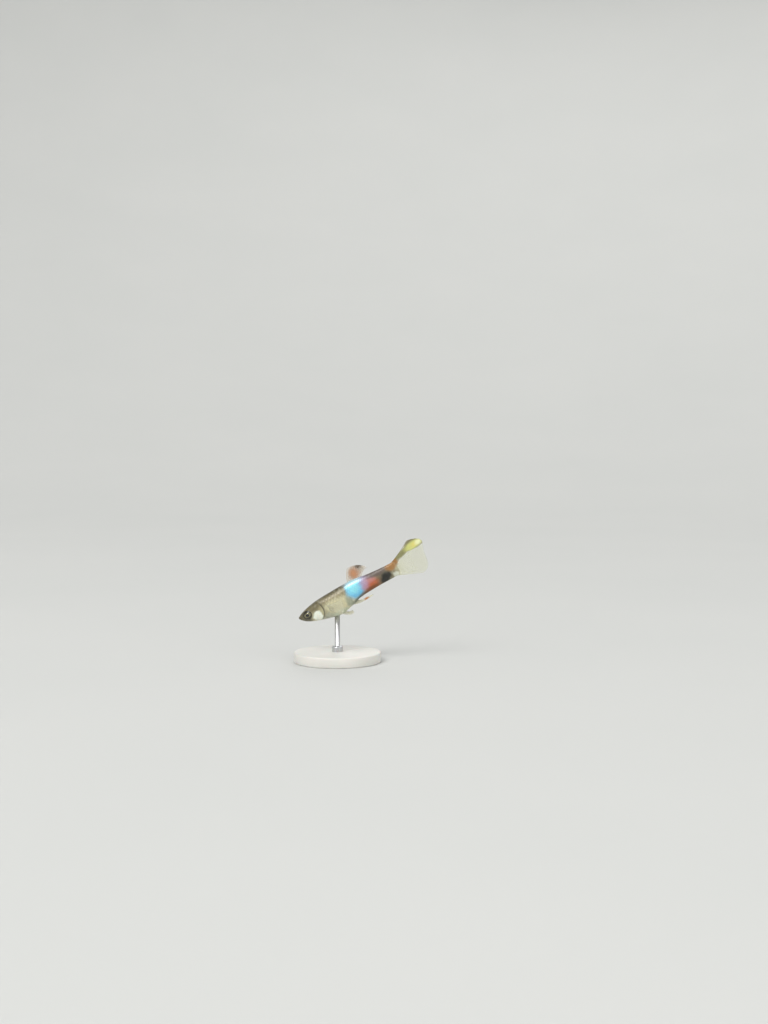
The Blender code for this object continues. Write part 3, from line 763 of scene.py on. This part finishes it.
def make_eye(name, side, finish):
    """An eye: its rim follows the head's side, and the lens stands out of the dome of the iris."""
    radius = EYE_RADIUS * np.linspace(EYE_FIRST_RING, 1, EYE_RINGS)[:, None]
    turn = -side * turns(EYE_COLUMNS)
    rim = side_at(EYE_X + EYE_RADIUS * np.cos(turn), EYE_Z + EYE_RADIUS * np.sin(turn)) - EYE_INSET
    share = (radius / EYE_RADIUS) ** 2
    front = mix((EYE_FRONT_Y, rim), share)
    front += LENS_RISE * np.maximum(0.0, 1 - (radius / PUPIL_RADIUS) ** 2)
    front -= IRIS_DIP * hump(radius - IRIS_DIP_RADIUS, IRIS_DIP_WIDTH)
    rear = mix((EYE_BACK_Y, rim), share**2)[::-1][1:]
    reach, out = np.concatenate((radius, radius[::-1][1:])), np.concatenate((front, rear))
    points = spot(EYE_X + reach * np.cos(turn), side * out, EYE_Z + reach * np.sin(turn))
    shape = Shape("eye")
    look = spot(reach / EYE_RADIUS, np.cos(turn), np.sin(turn))
    numbers = shape.grid(points, closed=True, eye=look)
    shape.close_ends(numbers, points.mean(1), eye=np.zeros((2, 3)))
    shape.build(name + "_ball", finish, "eye", (name,))


def along(start, degrees, length, outward=0.0):
    """The point reached from start in the fin's plane, at an angle above the tail's direction."""
    turn = np.radians(degrees)
    length = np.asarray(length)[..., None]
    return start + spot(np.cos(turn), outward, np.sin(turn)) * length


def swelling(first, swell, peak, loss, u):
    """A ray's length, which swells and then shrinks from the first ray to the last."""
    return first + swell * np.sin(math.pi * (0.1 + peak * u)) - loss * u


def dorsal_ray(u):
    """Root, knee and tip of a ray of the dorsal fin, u from the first ray to the last."""
    x = mix((DORSAL_FRONT, DORSAL_REAR), u)
    back = section(x)[0]
    start = spot(x, 0, back + GAP)
    length = swelling(*DORSAL_SWELL, u)
    knee = along(start, mix(DORSAL_KNEE, u), length * 0.5)
    return spot(x - 0.1, 0, back - FIN_SINK), knee, along(start, mix(DORSAL_TIP, u), length)


def tail_ray(u):
    """Rays fan out from an apex in the tail stalk. The upper lobe reaches out as a short sword."""
    lift = 2 * u - 1
    angle = TAIL_SPREAD * lift
    root_z = (STANDARD_LENGTH - TAIL_APEX) * np.tan(angle)
    root_x = STANDARD_LENGTH + STALK_ROUNDING * (root_z / OUTLINE[-1, 1]) ** 2
    start = spot(root_x + GAP, 0, root_z)
    sword = SWORD_REACH * hump(lift - SWORD_PLACE, SWORD_SPREAD)
    reach = TAIL_REACH - TAIL_CORNER * np.abs(lift) ** 5 + sword
    end = angle + TAIL_LIFT * np.maximum(lift, 0.0)
    straight = spot(TAIL_APEX + reach * np.cos(angle), 0, reach * np.sin(angle))
    tip = spot(TAIL_APEX + reach * np.cos(end), 0, reach * np.sin(end))
    return spot(root_x - FIN_SINK, 0, root_z * TAIL_ROOT_NARROW), (start + straight) / 2, tip


def pectoral_ray(side):
    """Rays of one pectoral fin, from its upper edge to its lower one."""

    def ray(u):
        z = mix((PECTORAL_TOP, PECTORAL_BOTTOM), u)
        x = PECTORAL_X + 0.1 * u
        half = side_at(x, z)
        start = spot(x, side * (half + PECTORAL_CLEAR), z)
        length = PECTORAL_LENGTH * swelling(*PECTORAL_SWELL, u)
        knee = along(start, mix(PECTORAL_KNEE, u), length * 0.5, side * 0.10)
        tip = along(start, mix(PECTORAL_TIP, u), length, side * 0.32)
        return spot(x, side * (half - FIN_SINK), z), knee, tip

    return ray


def pelvic_ray(side):
    """Rays of one pelvic fin, from its outer edge to its inner one."""

    def ray(u):
        x = PELVIC_X + PELVIC_BASE * u
        y = PELVIC_Y - 0.08 * u
        bottom = bottom_at(x, y)
        start = spot(x, side * y, bottom - GAP)
        length = PELVIC_LENGTH * (1 - PELVIC_SHORTER * u)
        knee = along(start, mix(PELVIC_KNEE, u), length * 0.45, side * 0.12)
        tip = along(start, mix(PELVIC_TIP, u), length, side * mix((0.16, -0.04), u))
        return spot(x - 0.15, side * y, bottom + FIN_SINK), knee, tip

    return ray


def gonopodium_ray(u):
    """The first rays make the long pointed rod, held along the belly. The rest are a short web."""
    x = GONOPODIUM_X + GONOPODIUM_BASE * u
    belly = section(x)[1]
    front_belly = section(np.array(GONOPODIUM_X))[1]
    start = spot(x, 0, belly - GAP)
    long_knee = spot(x + 0.65, 0, belly - GAP + mix(GONOPODIUM_KNEE, u))
    long_x = GONOPODIUM_X + GONOPODIUM_LENGTH - 0.5 * u
    long_tip = spot(long_x, 0, front_belly - GAP + mix(GONOPODIUM_TIP, u))
    length = GONOPODIUM_SHORT * (1.45 - u)
    share = step(u, *GONOPODIUM_CHANGE)[..., None]
    knee = mix((long_knee, along(start, -6.0, length * 0.5)), share)
    tip = mix((long_tip, along(start, 10.0, length)), share)
    return spot(x - 0.1, 0, belly + FIN_SINK), knee, tip


class Fin:
    """A fin in the making. Its places are u, 0 to 1 across its rays, and t, 0 to 1 out along them."""

    def __init__(self, ray, rays, wave=WAVE, branches=2, size=3.0, thick=0.8):
        self.ray, self.rays, self.wave = ray, rays, wave
        self.branches, self.size, self.thick = branches, size, thick
        self.draw = np.random.default_rng(FIN_SEED)
        self.shape = Shape("fish", "fin")
        low = 0.5 + 0.5 * np.arange(MOST_STRANDS * rays) / (MOST_STRANDS * rays)
        self.strips = iter([(0.0, at, 1.0, at + 0.45 / (MOST_STRANDS * rays)) for at in low])

    def point(self, u, t):
        """A place in the fin, with a light wave sideways."""
        root, knee, tip = self.ray(u)
        out = t[..., None]
        point = root * (1 - out) ** 2 + knee * (2 * out * (1 - out)) + tip * out**2
        waves = np.sin(2 * math.pi * (WAVES_ACROSS * u + WAVES_OUT * t))
        point[..., 1] += self.wave * t**2 * waves
        return point

    def facing(self, u, t):
        """The direction that the fin's face looks in."""
        small = 1e-3
        across = self.point(u + small, t) - self.point(u - small, t)
        facing = np.cross(across, self.point(u, t + small) - self.point(u, t - small))
        return facing / np.linalg.norm(facing, axis=-1, keepdims=True)

    def add_web(self):
        """The thin skin between the rays, notched and a little frayed at its margin."""
        gaps = self.rays - 1
        u = np.linspace(0.002, 0.998, WEB_COLUMNS * gaps + 1)[:, None]
        between_rays = np.abs(np.sin(math.pi * u * gaps))
        end = 1 - WEB_NOTCH * between_rays - self.draw.random((len(u), 1)) * WEB_FRAY * between_rays
        t = np.linspace(0, 1, WEB_ROWS)[None, :] * end
        u = np.broadcast_to(u, t.shape)
        middle, facing = self.point(u, t), self.facing(u, t)
        ripple = 0.5 + 0.5 * np.cos(2 * math.pi * u * gaps)
        half = MEMBRANE_THICK * (0.3 + 0.3 * ripple) * (1 - 0.4 * t)
        loops = []
        for side, area in ((1, (0.0, 0.0, 0.5, 0.5)), (-1, (0.5, 0.0, 1.0, 0.5))):
            face = middle + facing * (side * half)[..., None]
            face, place, look = (values[::side] for values in (face, middle, spot(u, t, 0.0)))
            loops.append(edge_of(self.shape.grid(face, area=area, fish=place, fin=look)[::side]))
        self.shape.band(loops[1], loops[0])

    def add_strand(self, u, t, radii):
        """One bony strand of a ray, jointed and thinning outwards."""
        middle, facing = self.point(u, t), self.facing(u, t)
        run = np.gradient(middle, axis=0)
        run /= np.linalg.norm(run, axis=-1, keepdims=True)
        across = STRAND_FLAT * np.cross(run, facing)
        joint = 0.5 + 0.5 * np.cos(2 * math.pi * lengths_along(middle) / RAY_SEGMENT)
        radius = np.linspace(*radii, len(t)) * (1 - JOINT_PINCH * joint**4)
        turn = turns(STRAND_SIDES)[:, None]
        ring = np.cos(turn) * facing[:, None] - np.sin(turn) * across[:, None]
        points = middle[:, None] + ring * radius[:, None, None]
        look = spot(u, t, 1 - JOINT_DARK * joint**6)
        stored = {"fish": middle[:, None], "fin": look[:, None]}
        numbers = self.shape.grid(points, closed=True, area=next(self.strips), **stored)
        self.shape.close_ends(numbers, middle, fish=middle, fin=look)

    def add_ray(self, k):
        """A ray with its forks: single at the root, then two strands, then four."""
        spacing = 1 / (self.rays - 1)
        first, second = (place + varied * self.draw.random() for place, varied in (FIRST_FORK, SECOND_FORK))
        forks = 0 if k in (0, self.rays - 1) else self.branches
        starts, ends = (0.0, first, second), [first + FORK_OVERLAP, second + FORK_OVERLAP, 1.0]
        ends[forks] = RAY_END
        for thin, start, end, strands in zip(STRAND_THIN[: forks + 1], starts, ends, STRANDS):
            t = np.linspace(start, end, max(6, int((end - start) * self.size * 5 / RAY_SEGMENT)))
            radii = mix((RAY_ROOT, RAY_TIP), t[[0, -1]] ** 0.7) * thin * self.thick
            for wide, narrow in strands:
                u = k * spacing + spacing * wide * 0.25 * step(t, first, first + 0.35)
                u = u + spacing * narrow * 0.125 * step(t, second, second + 0.3)
                self.add_strand(np.clip(u, 0.0, 1.0), t, radii)


def make_fin(name, ray, rays, finish, slot, **form):
    """A fin: jointed, forking rays with a thin web between them."""
    fin = Fin(ray, rays, **form)
    fin.add_web()
    for k in range(rays):
        fin.add_ray(k)
    fin.shape.build(name + "_rayed", finish, slot, (name,))


def flesh_finish():
    """Moist skin with its markings, laid out on the straight fish so that skin and scales match."""
    paint = Paint("fish_skin")
    x, _, z, place = paint.stored("fish")
    behind, own, cover, _ = paint.stored("scales")
    # Painted shade of creases and pits, and the lips' tint
    crevice_shade, lips, _, _ = paint.stored("form")
    broad, fine = paint.noise(place, 1.1), paint.noise(place, 4.5)
    drift_x, drift_z = paint.sway(x, broad, 0.7), paint.sway(z, fine, 0.35)

    colour = paint.blend(paint.ramp(drift_z, -0.35, 0.75), BELLY_COLOUR, FLANK_COLOUR)
    colour = paint.blend(paint.ramp(drift_z, 0.95, 1.75), colour, BACK_COLOUR)
    shine, marked = 0.12, 0.0
    for centre, radii, tilt, soft, tint, strength, gloss in MARKINGS:
        share = paint.times(paint.patch(drift_x, drift_z, centre, radii, tilt, soft), strength)
        colour = paint.blend(share, colour, srgb(*tint))
        shine = paint.add(shine, paint.times(share, paint.math("SUBTRACT", gloss, shine)))
        if strength > STRONG_MARK:
            marked = paint.math("MAXIMUM", marked, share)

    upper = paint.ramp(z, -0.8, 1.2, 0.35, 1.0)
    pale = paint.ramp(shine, 0.15, 0.45, 1.0, 0.35)
    rim = paint.times(paint.ramp(behind, 0.30, 0.04), cover, upper, pale, 0.5)
    colour = paint.blend(rim, colour, RIM_COLOUR)
    sheen = paint.times(paint.math("SUBTRACT", own, 0.5), cover)
    plain = paint.ramp(marked, 0.2, 0.8, 1.0, 0.25)
    for most, share, tint in ((0.5, 0.09, LIGHT_COLOUR), (-0.5, 0.12, RIM_COLOUR)):
        differs = paint.times(paint.ramp(sheen, 0.0, most, 0.0, share), plain)
        colour = paint.blend(differs, colour, tint)

    clouds = paint.ramp(paint.noise(place, 11.0, 3.0), 0.42, 0.66)
    pearl = paint.times(paint.ramp(shine, 0.15, 0.40), clouds, 0.6)
    colour = paint.blend(pearl, colour, PEARL_SHADE, "MULTIPLY")

    for scale, size, share in ((7.0, 0.20, 0.85), (13.0, 0.26, 0.6)):
        cells = paint.node("TexVoronoi", {"Vector": place, "Scale": scale})
        chance = paint.node("SeparateColor", {"Color": cells.outputs["Color"]}).outputs[0]
        chosen = paint.math("LESS_THAN", chance, paint.ramp(z, -1.0, 1.5, 0.12, 0.75))
        dot = paint.ramp(cells.outputs["Distance"], size, size * 0.55)
        shown = paint.ramp(marked, 0.2, 0.8, share, 0.15 * share)
        colour = paint.blend(paint.times(dot, chosen, pale, shown), colour, SPECK_COLOUR)
    colour = paint.blend(paint.times(lips, 0.35), colour, LIP_COLOUR)
    # Painted shade darkens the mouth's parting, the nostrils, the gill slit and the eye socket's rim
    colour = paint.blend(paint.times(crevice_shade, 0.9), colour, CREVICE_SHADE_COLOUR)

    rough = paint.sway(paint.ramp(shine, 0.1, 0.6, 0.42, 0.26), fine, 0.12)
    metal = paint.times(shine, paint.ramp(crevice_shade, 0.7, 0.0))
    paint.set(Base_Color=colour, Metallic=metal, Roughness=rough)
    paint.set(IOR=1.40, Coat_Weight=0.6, Coat_Roughness=0.12, Coat_IOR=1.34)
    paint.set(Subsurface_Weight=0.12, Subsurface_Scale=0.0006, Subsurface_Radius=(1.0, 0.6, 0.4))
    rings = paint.times(paint.math("SINE", paint.times(behind, 55.0)), cover, 0.15)
    grain = paint.times(paint.noise(place, 22.0, 3.0), 0.7)
    paint.bump(paint.add(grain, rings), 0.008 * MM, 0.8)
    return paint.material


def eye_finish():
    """A black pupil, a dusky iris with a thin bright ring, and a wet surface over all."""
    paint = Paint("eye_wet")
    reach, over, up, place = paint.stored("eye")
    flecks = paint.noise(place, 14.0, 3.0, 0.7)
    wavy = paint.sway(reach, flecks, 0.05)
    colour = paint.blend(paint.ramp(flecks, 0.35, 0.70), srgb(58, 54, 38), srgb(150, 146, 112))
    dusk = paint.ramp(paint.math("ABSOLUTE", up), 0.35, 0.95, 0.0, 0.8)
    colour = paint.blend(dusk, colour, srgb(30, 28, 22))
    ring = paint.times(paint.ramp(wavy, 0.50, 0.46), paint.ramp(wavy, 0.40, 0.43), 0.85)
    colour = paint.blend(ring, colour, srgb(205, 196, 150))
    colour = paint.blend(paint.ramp(reach, 0.80, 0.95), colour, srgb(20, 19, 16))
    notch = paint.times(paint.ramp(over, -0.8, -1.0), -0.05)
    pupil = paint.ramp(paint.add(reach, notch), 0.425, 0.395)
    colour = paint.blend(pupil, colour, PUPIL_COLOUR)
    metal = paint.times(paint.ramp(pupil, 1.0, 0.0), paint.ramp(reach, 0.9, 0.7, 0.0, 0.45))
    paint.set(Base_Color=colour, Metallic=metal, Roughness=paint.ramp(flecks, 0.2, 0.8, 0.22, 0.34))
    paint.set(IOR=1.40, Coat_Weight=1.0, Coat_Roughness=0.02, Coat_IOR=1.38)
    return paint.material


def fin_finish(name, clear, bone, marks, film=0.24):
    """A see-through web with firmer rays. marks are patches of colour, film the web's solidness."""
    paint = Paint(name)
    x, _, z, place = paint.stored("fish")
    _, out, bony, _ = paint.stored("fin")
    cloud, grain = paint.noise(place, 1.6), paint.noise(place, 9.0, 3.0)
    drift_x, drift_z = paint.sway(x, cloud, 0.5), paint.sway(z, grain, 0.12)
    firm = paint.ramp(bony, 0.0, 0.5)
    colour = paint.blend(firm, srgb(*clear), srgb(*bone))
    joints = paint.times(firm, paint.ramp(bony, 1.0, 0.6, 0.0, 0.25))
    colour = paint.blend(joints, colour, SPECK_COLOUR)
    solid = paint.add(paint.times(firm, 0.55), paint.ramp(out, 0.0, 1.0, film, film / 2))
    for centre, radii, tilt, soft, tint, strength in marks:
        share = paint.times(paint.patch(drift_x, drift_z, centre, radii, tilt, soft), strength)
        colour = paint.blend(share, colour, srgb(*tint))
        solid = paint.math("MAXIMUM", solid, paint.times(share, 0.93))
    cells = paint.node("TexVoronoi", {"Vector": place, "Scale": 7.5})
    dot, chosen = paint.ramp(cells.outputs["Distance"], 0.24, 0.12), paint.ramp(grain, 0.45, 0.60)
    dot = paint.times(dot, chosen, paint.ramp(out, 0.0, 1.0, 0.75, 0.35))
    colour = paint.blend(dot, colour, SPECK_COLOUR)
    solid = paint.math("MAXIMUM", solid, paint.times(dot, 0.8))
    paint.set(Base_Color=colour, Alpha=paint.math("MINIMUM", solid, 0.97))
    paint.set(Roughness=paint.ramp(grain, 0.3, 0.7, 0.24, 0.38))
    paint.set(IOR=1.40, Coat_Weight=0.4, Coat_Roughness=0.1)
    paint.bump(paint.add(grain, paint.times(cloud, 0.5)), 0.01 * MM, 0.6)
    return paint.material


def foot_finish():
    """Satin off-white acrylic with a faint haze of fine scratches."""
    paint = Paint("satin_acrylic")
    place = paint.object_place()
    cloud, grain = paint.noise(place, 180.0, 3.0), paint.noise(place, 2600.0, 2.0)
    colour = paint.blend(paint.ramp(cloud, 0.3, 0.7), srgb(214, 212, 205), srgb(224, 222, 216))
    rough = paint.sway(paint.ramp(cloud, 0.3, 0.7, 0.40, 0.50), grain, 0.08)
    paint.set(Base_Color=colour, Roughness=rough, IOR=1.49)
    paint.set(Subsurface_Weight=0.1, Subsurface_Scale=0.001, Coat_Weight=0.15, Coat_Roughness=0.3)
    paint.bump(grain, 0.006 * MM, 0.5)
    return paint.material


def rod_finish():
    """Fine brushed steel: the strokes run round the rod."""
    paint = Paint("brushed_steel")
    place = paint.object_place()
    stretch = paint.node("Mapping", {"Vector": place, "Scale": (0.03, 0.03, 1.0)})
    strokes = paint.noise(stretch.outputs["Vector"], 60000.0, 2.0)
    cloud = paint.noise(place, 600.0, 2.0)
    colour = paint.blend(paint.ramp(cloud, 0.3, 0.7), srgb(196, 197, 200), srgb(214, 214, 214))
    rough = paint.sway(paint.ramp(strokes, 0.3, 0.7, 0.28, 0.33), cloud, 0.04)
    paint.set(Base_Color=colour, Metallic=1.0, Roughness=rough, Anisotropic=0.4)
    paint.bump(strokes, 0.002 * MM, 0.08)
    return paint.material


def floor_finish():
    """Plain pale paper."""
    paint = Paint("pale_paper")
    cloud = paint.noise(paint.object_place(), 14.0, 2.0)
    paint.set(Base_Color=paint.blend(cloud, srgb(202, 203, 200), srgb(207, 207, 204)), Roughness=0.9)
    return paint.material


def millimetres(points):
    return points * MM


def round_rows(profile):
    """Rows of points about the stand's axis, from radius and height pairs."""
    radius, height = np.array(profile).T[..., None]
    turn = turns(TURNED_COLUMNS)
    return spot(radius * np.cos(turn), radius * np.sin(turn), height)


def turned(name, profile, finish, slot):
    """A round form about the stand's axis, from radius and height pairs along its outside."""
    shape = Shape()
    numbers = shape.grid(round_rows(profile), closed=True)
    shape.close_ends(numbers, [(0.0, 0.0, height) for _, height in profile])
    shape.build(name, finish, slot, (slot,), millimetres)


def rounded(corner_radius, corner_height, size, steps=6):
    """Profile points of a rounded outer edge, from below it to above it."""
    middle_radius, middle_height = corner_radius - size, corner_height - size
    return [
        (middle_radius + size * math.cos(turn), middle_height + size * math.sin(turn))
        for turn in np.linspace(0, math.pi / 2, steps + 1)
    ]


def make_stand():
    """The foot, and the rod with its collar, which reaches up into the belly."""
    low = [(FOOT_RADIUS - 0.2, 0.0), (FOOT_RADIUS - 0.06, 0.05), (FOOT_RADIUS, 0.2)]
    top = rounded(FOOT_RADIUS, FOOT_HEIGHT, FOOT_BEVEL) + [(COLLAR_RADIUS * 0.5, FOOT_HEIGHT)]
    turned("stand_foot", low + top, foot_finish(), "stand_base")
    foot = FOOT_HEIGHT - 0.1
    collar_top = FOOT_HEIGHT + GAP + COLLAR_HEIGHT
    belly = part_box("stand_rod")[1].z / MM + GAP + ROD_SINK
    collar = rounded(COLLAR_RADIUS, collar_top, 0.18)
    rod = [(ROD_RADIUS + 0.06, collar_top), (ROD_RADIUS, collar_top + 0.06), (ROD_RADIUS, belly)]
    profile = [(COLLAR_RADIUS - 0.05, foot), (COLLAR_RADIUS, foot + 0.15)] + collar + rod
    turned("stand_collar_and_rod", profile, rod_finish(), "stand_rod")


def make_stage():
    """A pale floor that curves up far away on every side."""
    bend = np.linspace(0, math.pi / 2, FLOOR_CURVE_STEPS)
    radius, height = FLOOR_RADIUS + FLOOR_BEND * np.sin(bend), FLOOR_BEND * (1 - np.cos(bend))
    profile = [(5.0, 0.0), (40.0, 0.0), (120.0, 0.0), *zip(radius, height)]
    shape = Shape()
    numbers = shape.grid(round_rows(profile), closed=True)
    shape.fan((0.0, 0.0, 0.0), numbers[0][::-1])
    shape.build("floor", floor_finish(), place=millimetres)


def look_from(thing, place, aim):
    """Puts a camera or light at a place in millimetres and turns it to the aim."""
    thing.location = Vector(place) * MM
    thing.rotation_euler = (Vector(aim) - Vector(place)).to_track_quat("-Z", "Y").to_euler()
    bpy.context.scene.collection.objects.link(thing)
    return thing


def make_camera():
    """The camera sees the fish's left side, at the photograph's scale and place in the frame."""
    across = PHOTO_WIDTH / 2 - SNOUT_PIXEL[0]
    up = SNOUT_PIXEL[1] - PHOTO_HEIGHT / 2
    aim = (SNOUT_X + across / PIXELS_PER_MM, 0.0, SNOUT_Z + OUTLINE[0, 1] + up / PIXELS_PER_MM)
    lens = bpy.data.cameras.new("camera")
    lens.sensor_fit = "VERTICAL"
    lens.lens = lens.sensor_height * PIXELS_PER_MM * CAMERA_DISTANCE / PHOTO_HEIGHT
    lens.clip_start, lens.clip_end = 0.005, 20.0
    back = CAMERA_DISTANCE * math.cos(CAMERA_ELEVATION)
    place = (aim[0], -back, aim[2] + CAMERA_DISTANCE * math.sin(CAMERA_ELEVATION))
    bpy.context.scene.camera = look_from(bpy.data.objects.new("camera", lens), place, aim)
    return aim


def make_lights(aim):
    """A large soft key from the upper left, a fill, and a light from behind and above."""
    for name, offset, size, power in LIGHTS:
        light = bpy.data.lights.new(name, "AREA")
        light.size, light.energy = size * MM, power
        look_from(bpy.data.objects.new(name, light), np.add(aim, offset), aim).visible_camera = False
    world = bpy.data.worlds.new("studio")
    world.use_nodes = True
    sky = world.node_tree.nodes["Background"]
    sky.inputs["Color"].default_value = WORLD_COLOUR
    sky.inputs["Strength"].default_value = WORLD_STRENGTH
    bpy.context.scene.world = world


def main():
    make_stage()
    make_lights(make_camera())
    body, flesh = Body(), flesh_finish()
    make_skin(flesh)
    make_scales(body, flesh)
    wet = eye_finish()
    make_eye("eye_left", -1, wet)
    make_eye("eye_right", 1, wet)
    clear = fin_finish("clear_web", (226, 226, 206), (212, 208, 180), (), film=0.18)
    orange = fin_finish("orange_web", (222, 212, 190), (206, 186, 150), DORSAL_MARKS)
    yellow = fin_finish("yellow_web", (222, 224, 196), (206, 204, 166), TAIL_MARKS)
    spotted = fin_finish("anal_web", (214, 212, 188), (206, 202, 172), GONOPODIUM_MARKS, film=0.6)
    make_fin("tail_fin", tail_ray, TAIL_RAYS, yellow, "tail_fin", size=6.0, thick=1.0)
    make_fin("dorsal_fin", dorsal_ray, DORSAL_RAYS, orange, "dorsal_fin")
    make_fin("gonopodium", gonopodium_ray, GONOPODIUM_RAYS, spotted, "clear_fin", wave=0.0, branches=0)
    for side, name in ((-1, "left"), (1, "right")):
        arm, hip = (pectoral_ray(side), PECTORAL_RAYS), (pelvic_ray(side), PELVIC_RAYS)
        make_fin(f"pectoral_fin_{name}", *arm, clear, "clear_fin", thick=0.6)
        make_fin(f"pelvic_fin_{name}", *hip, clear, "clear_fin", wave=0.0, branches=1, thick=0.6)
    make_stand()
    bpy.context.scene.view_settings.view_transform = "Standard"


main()
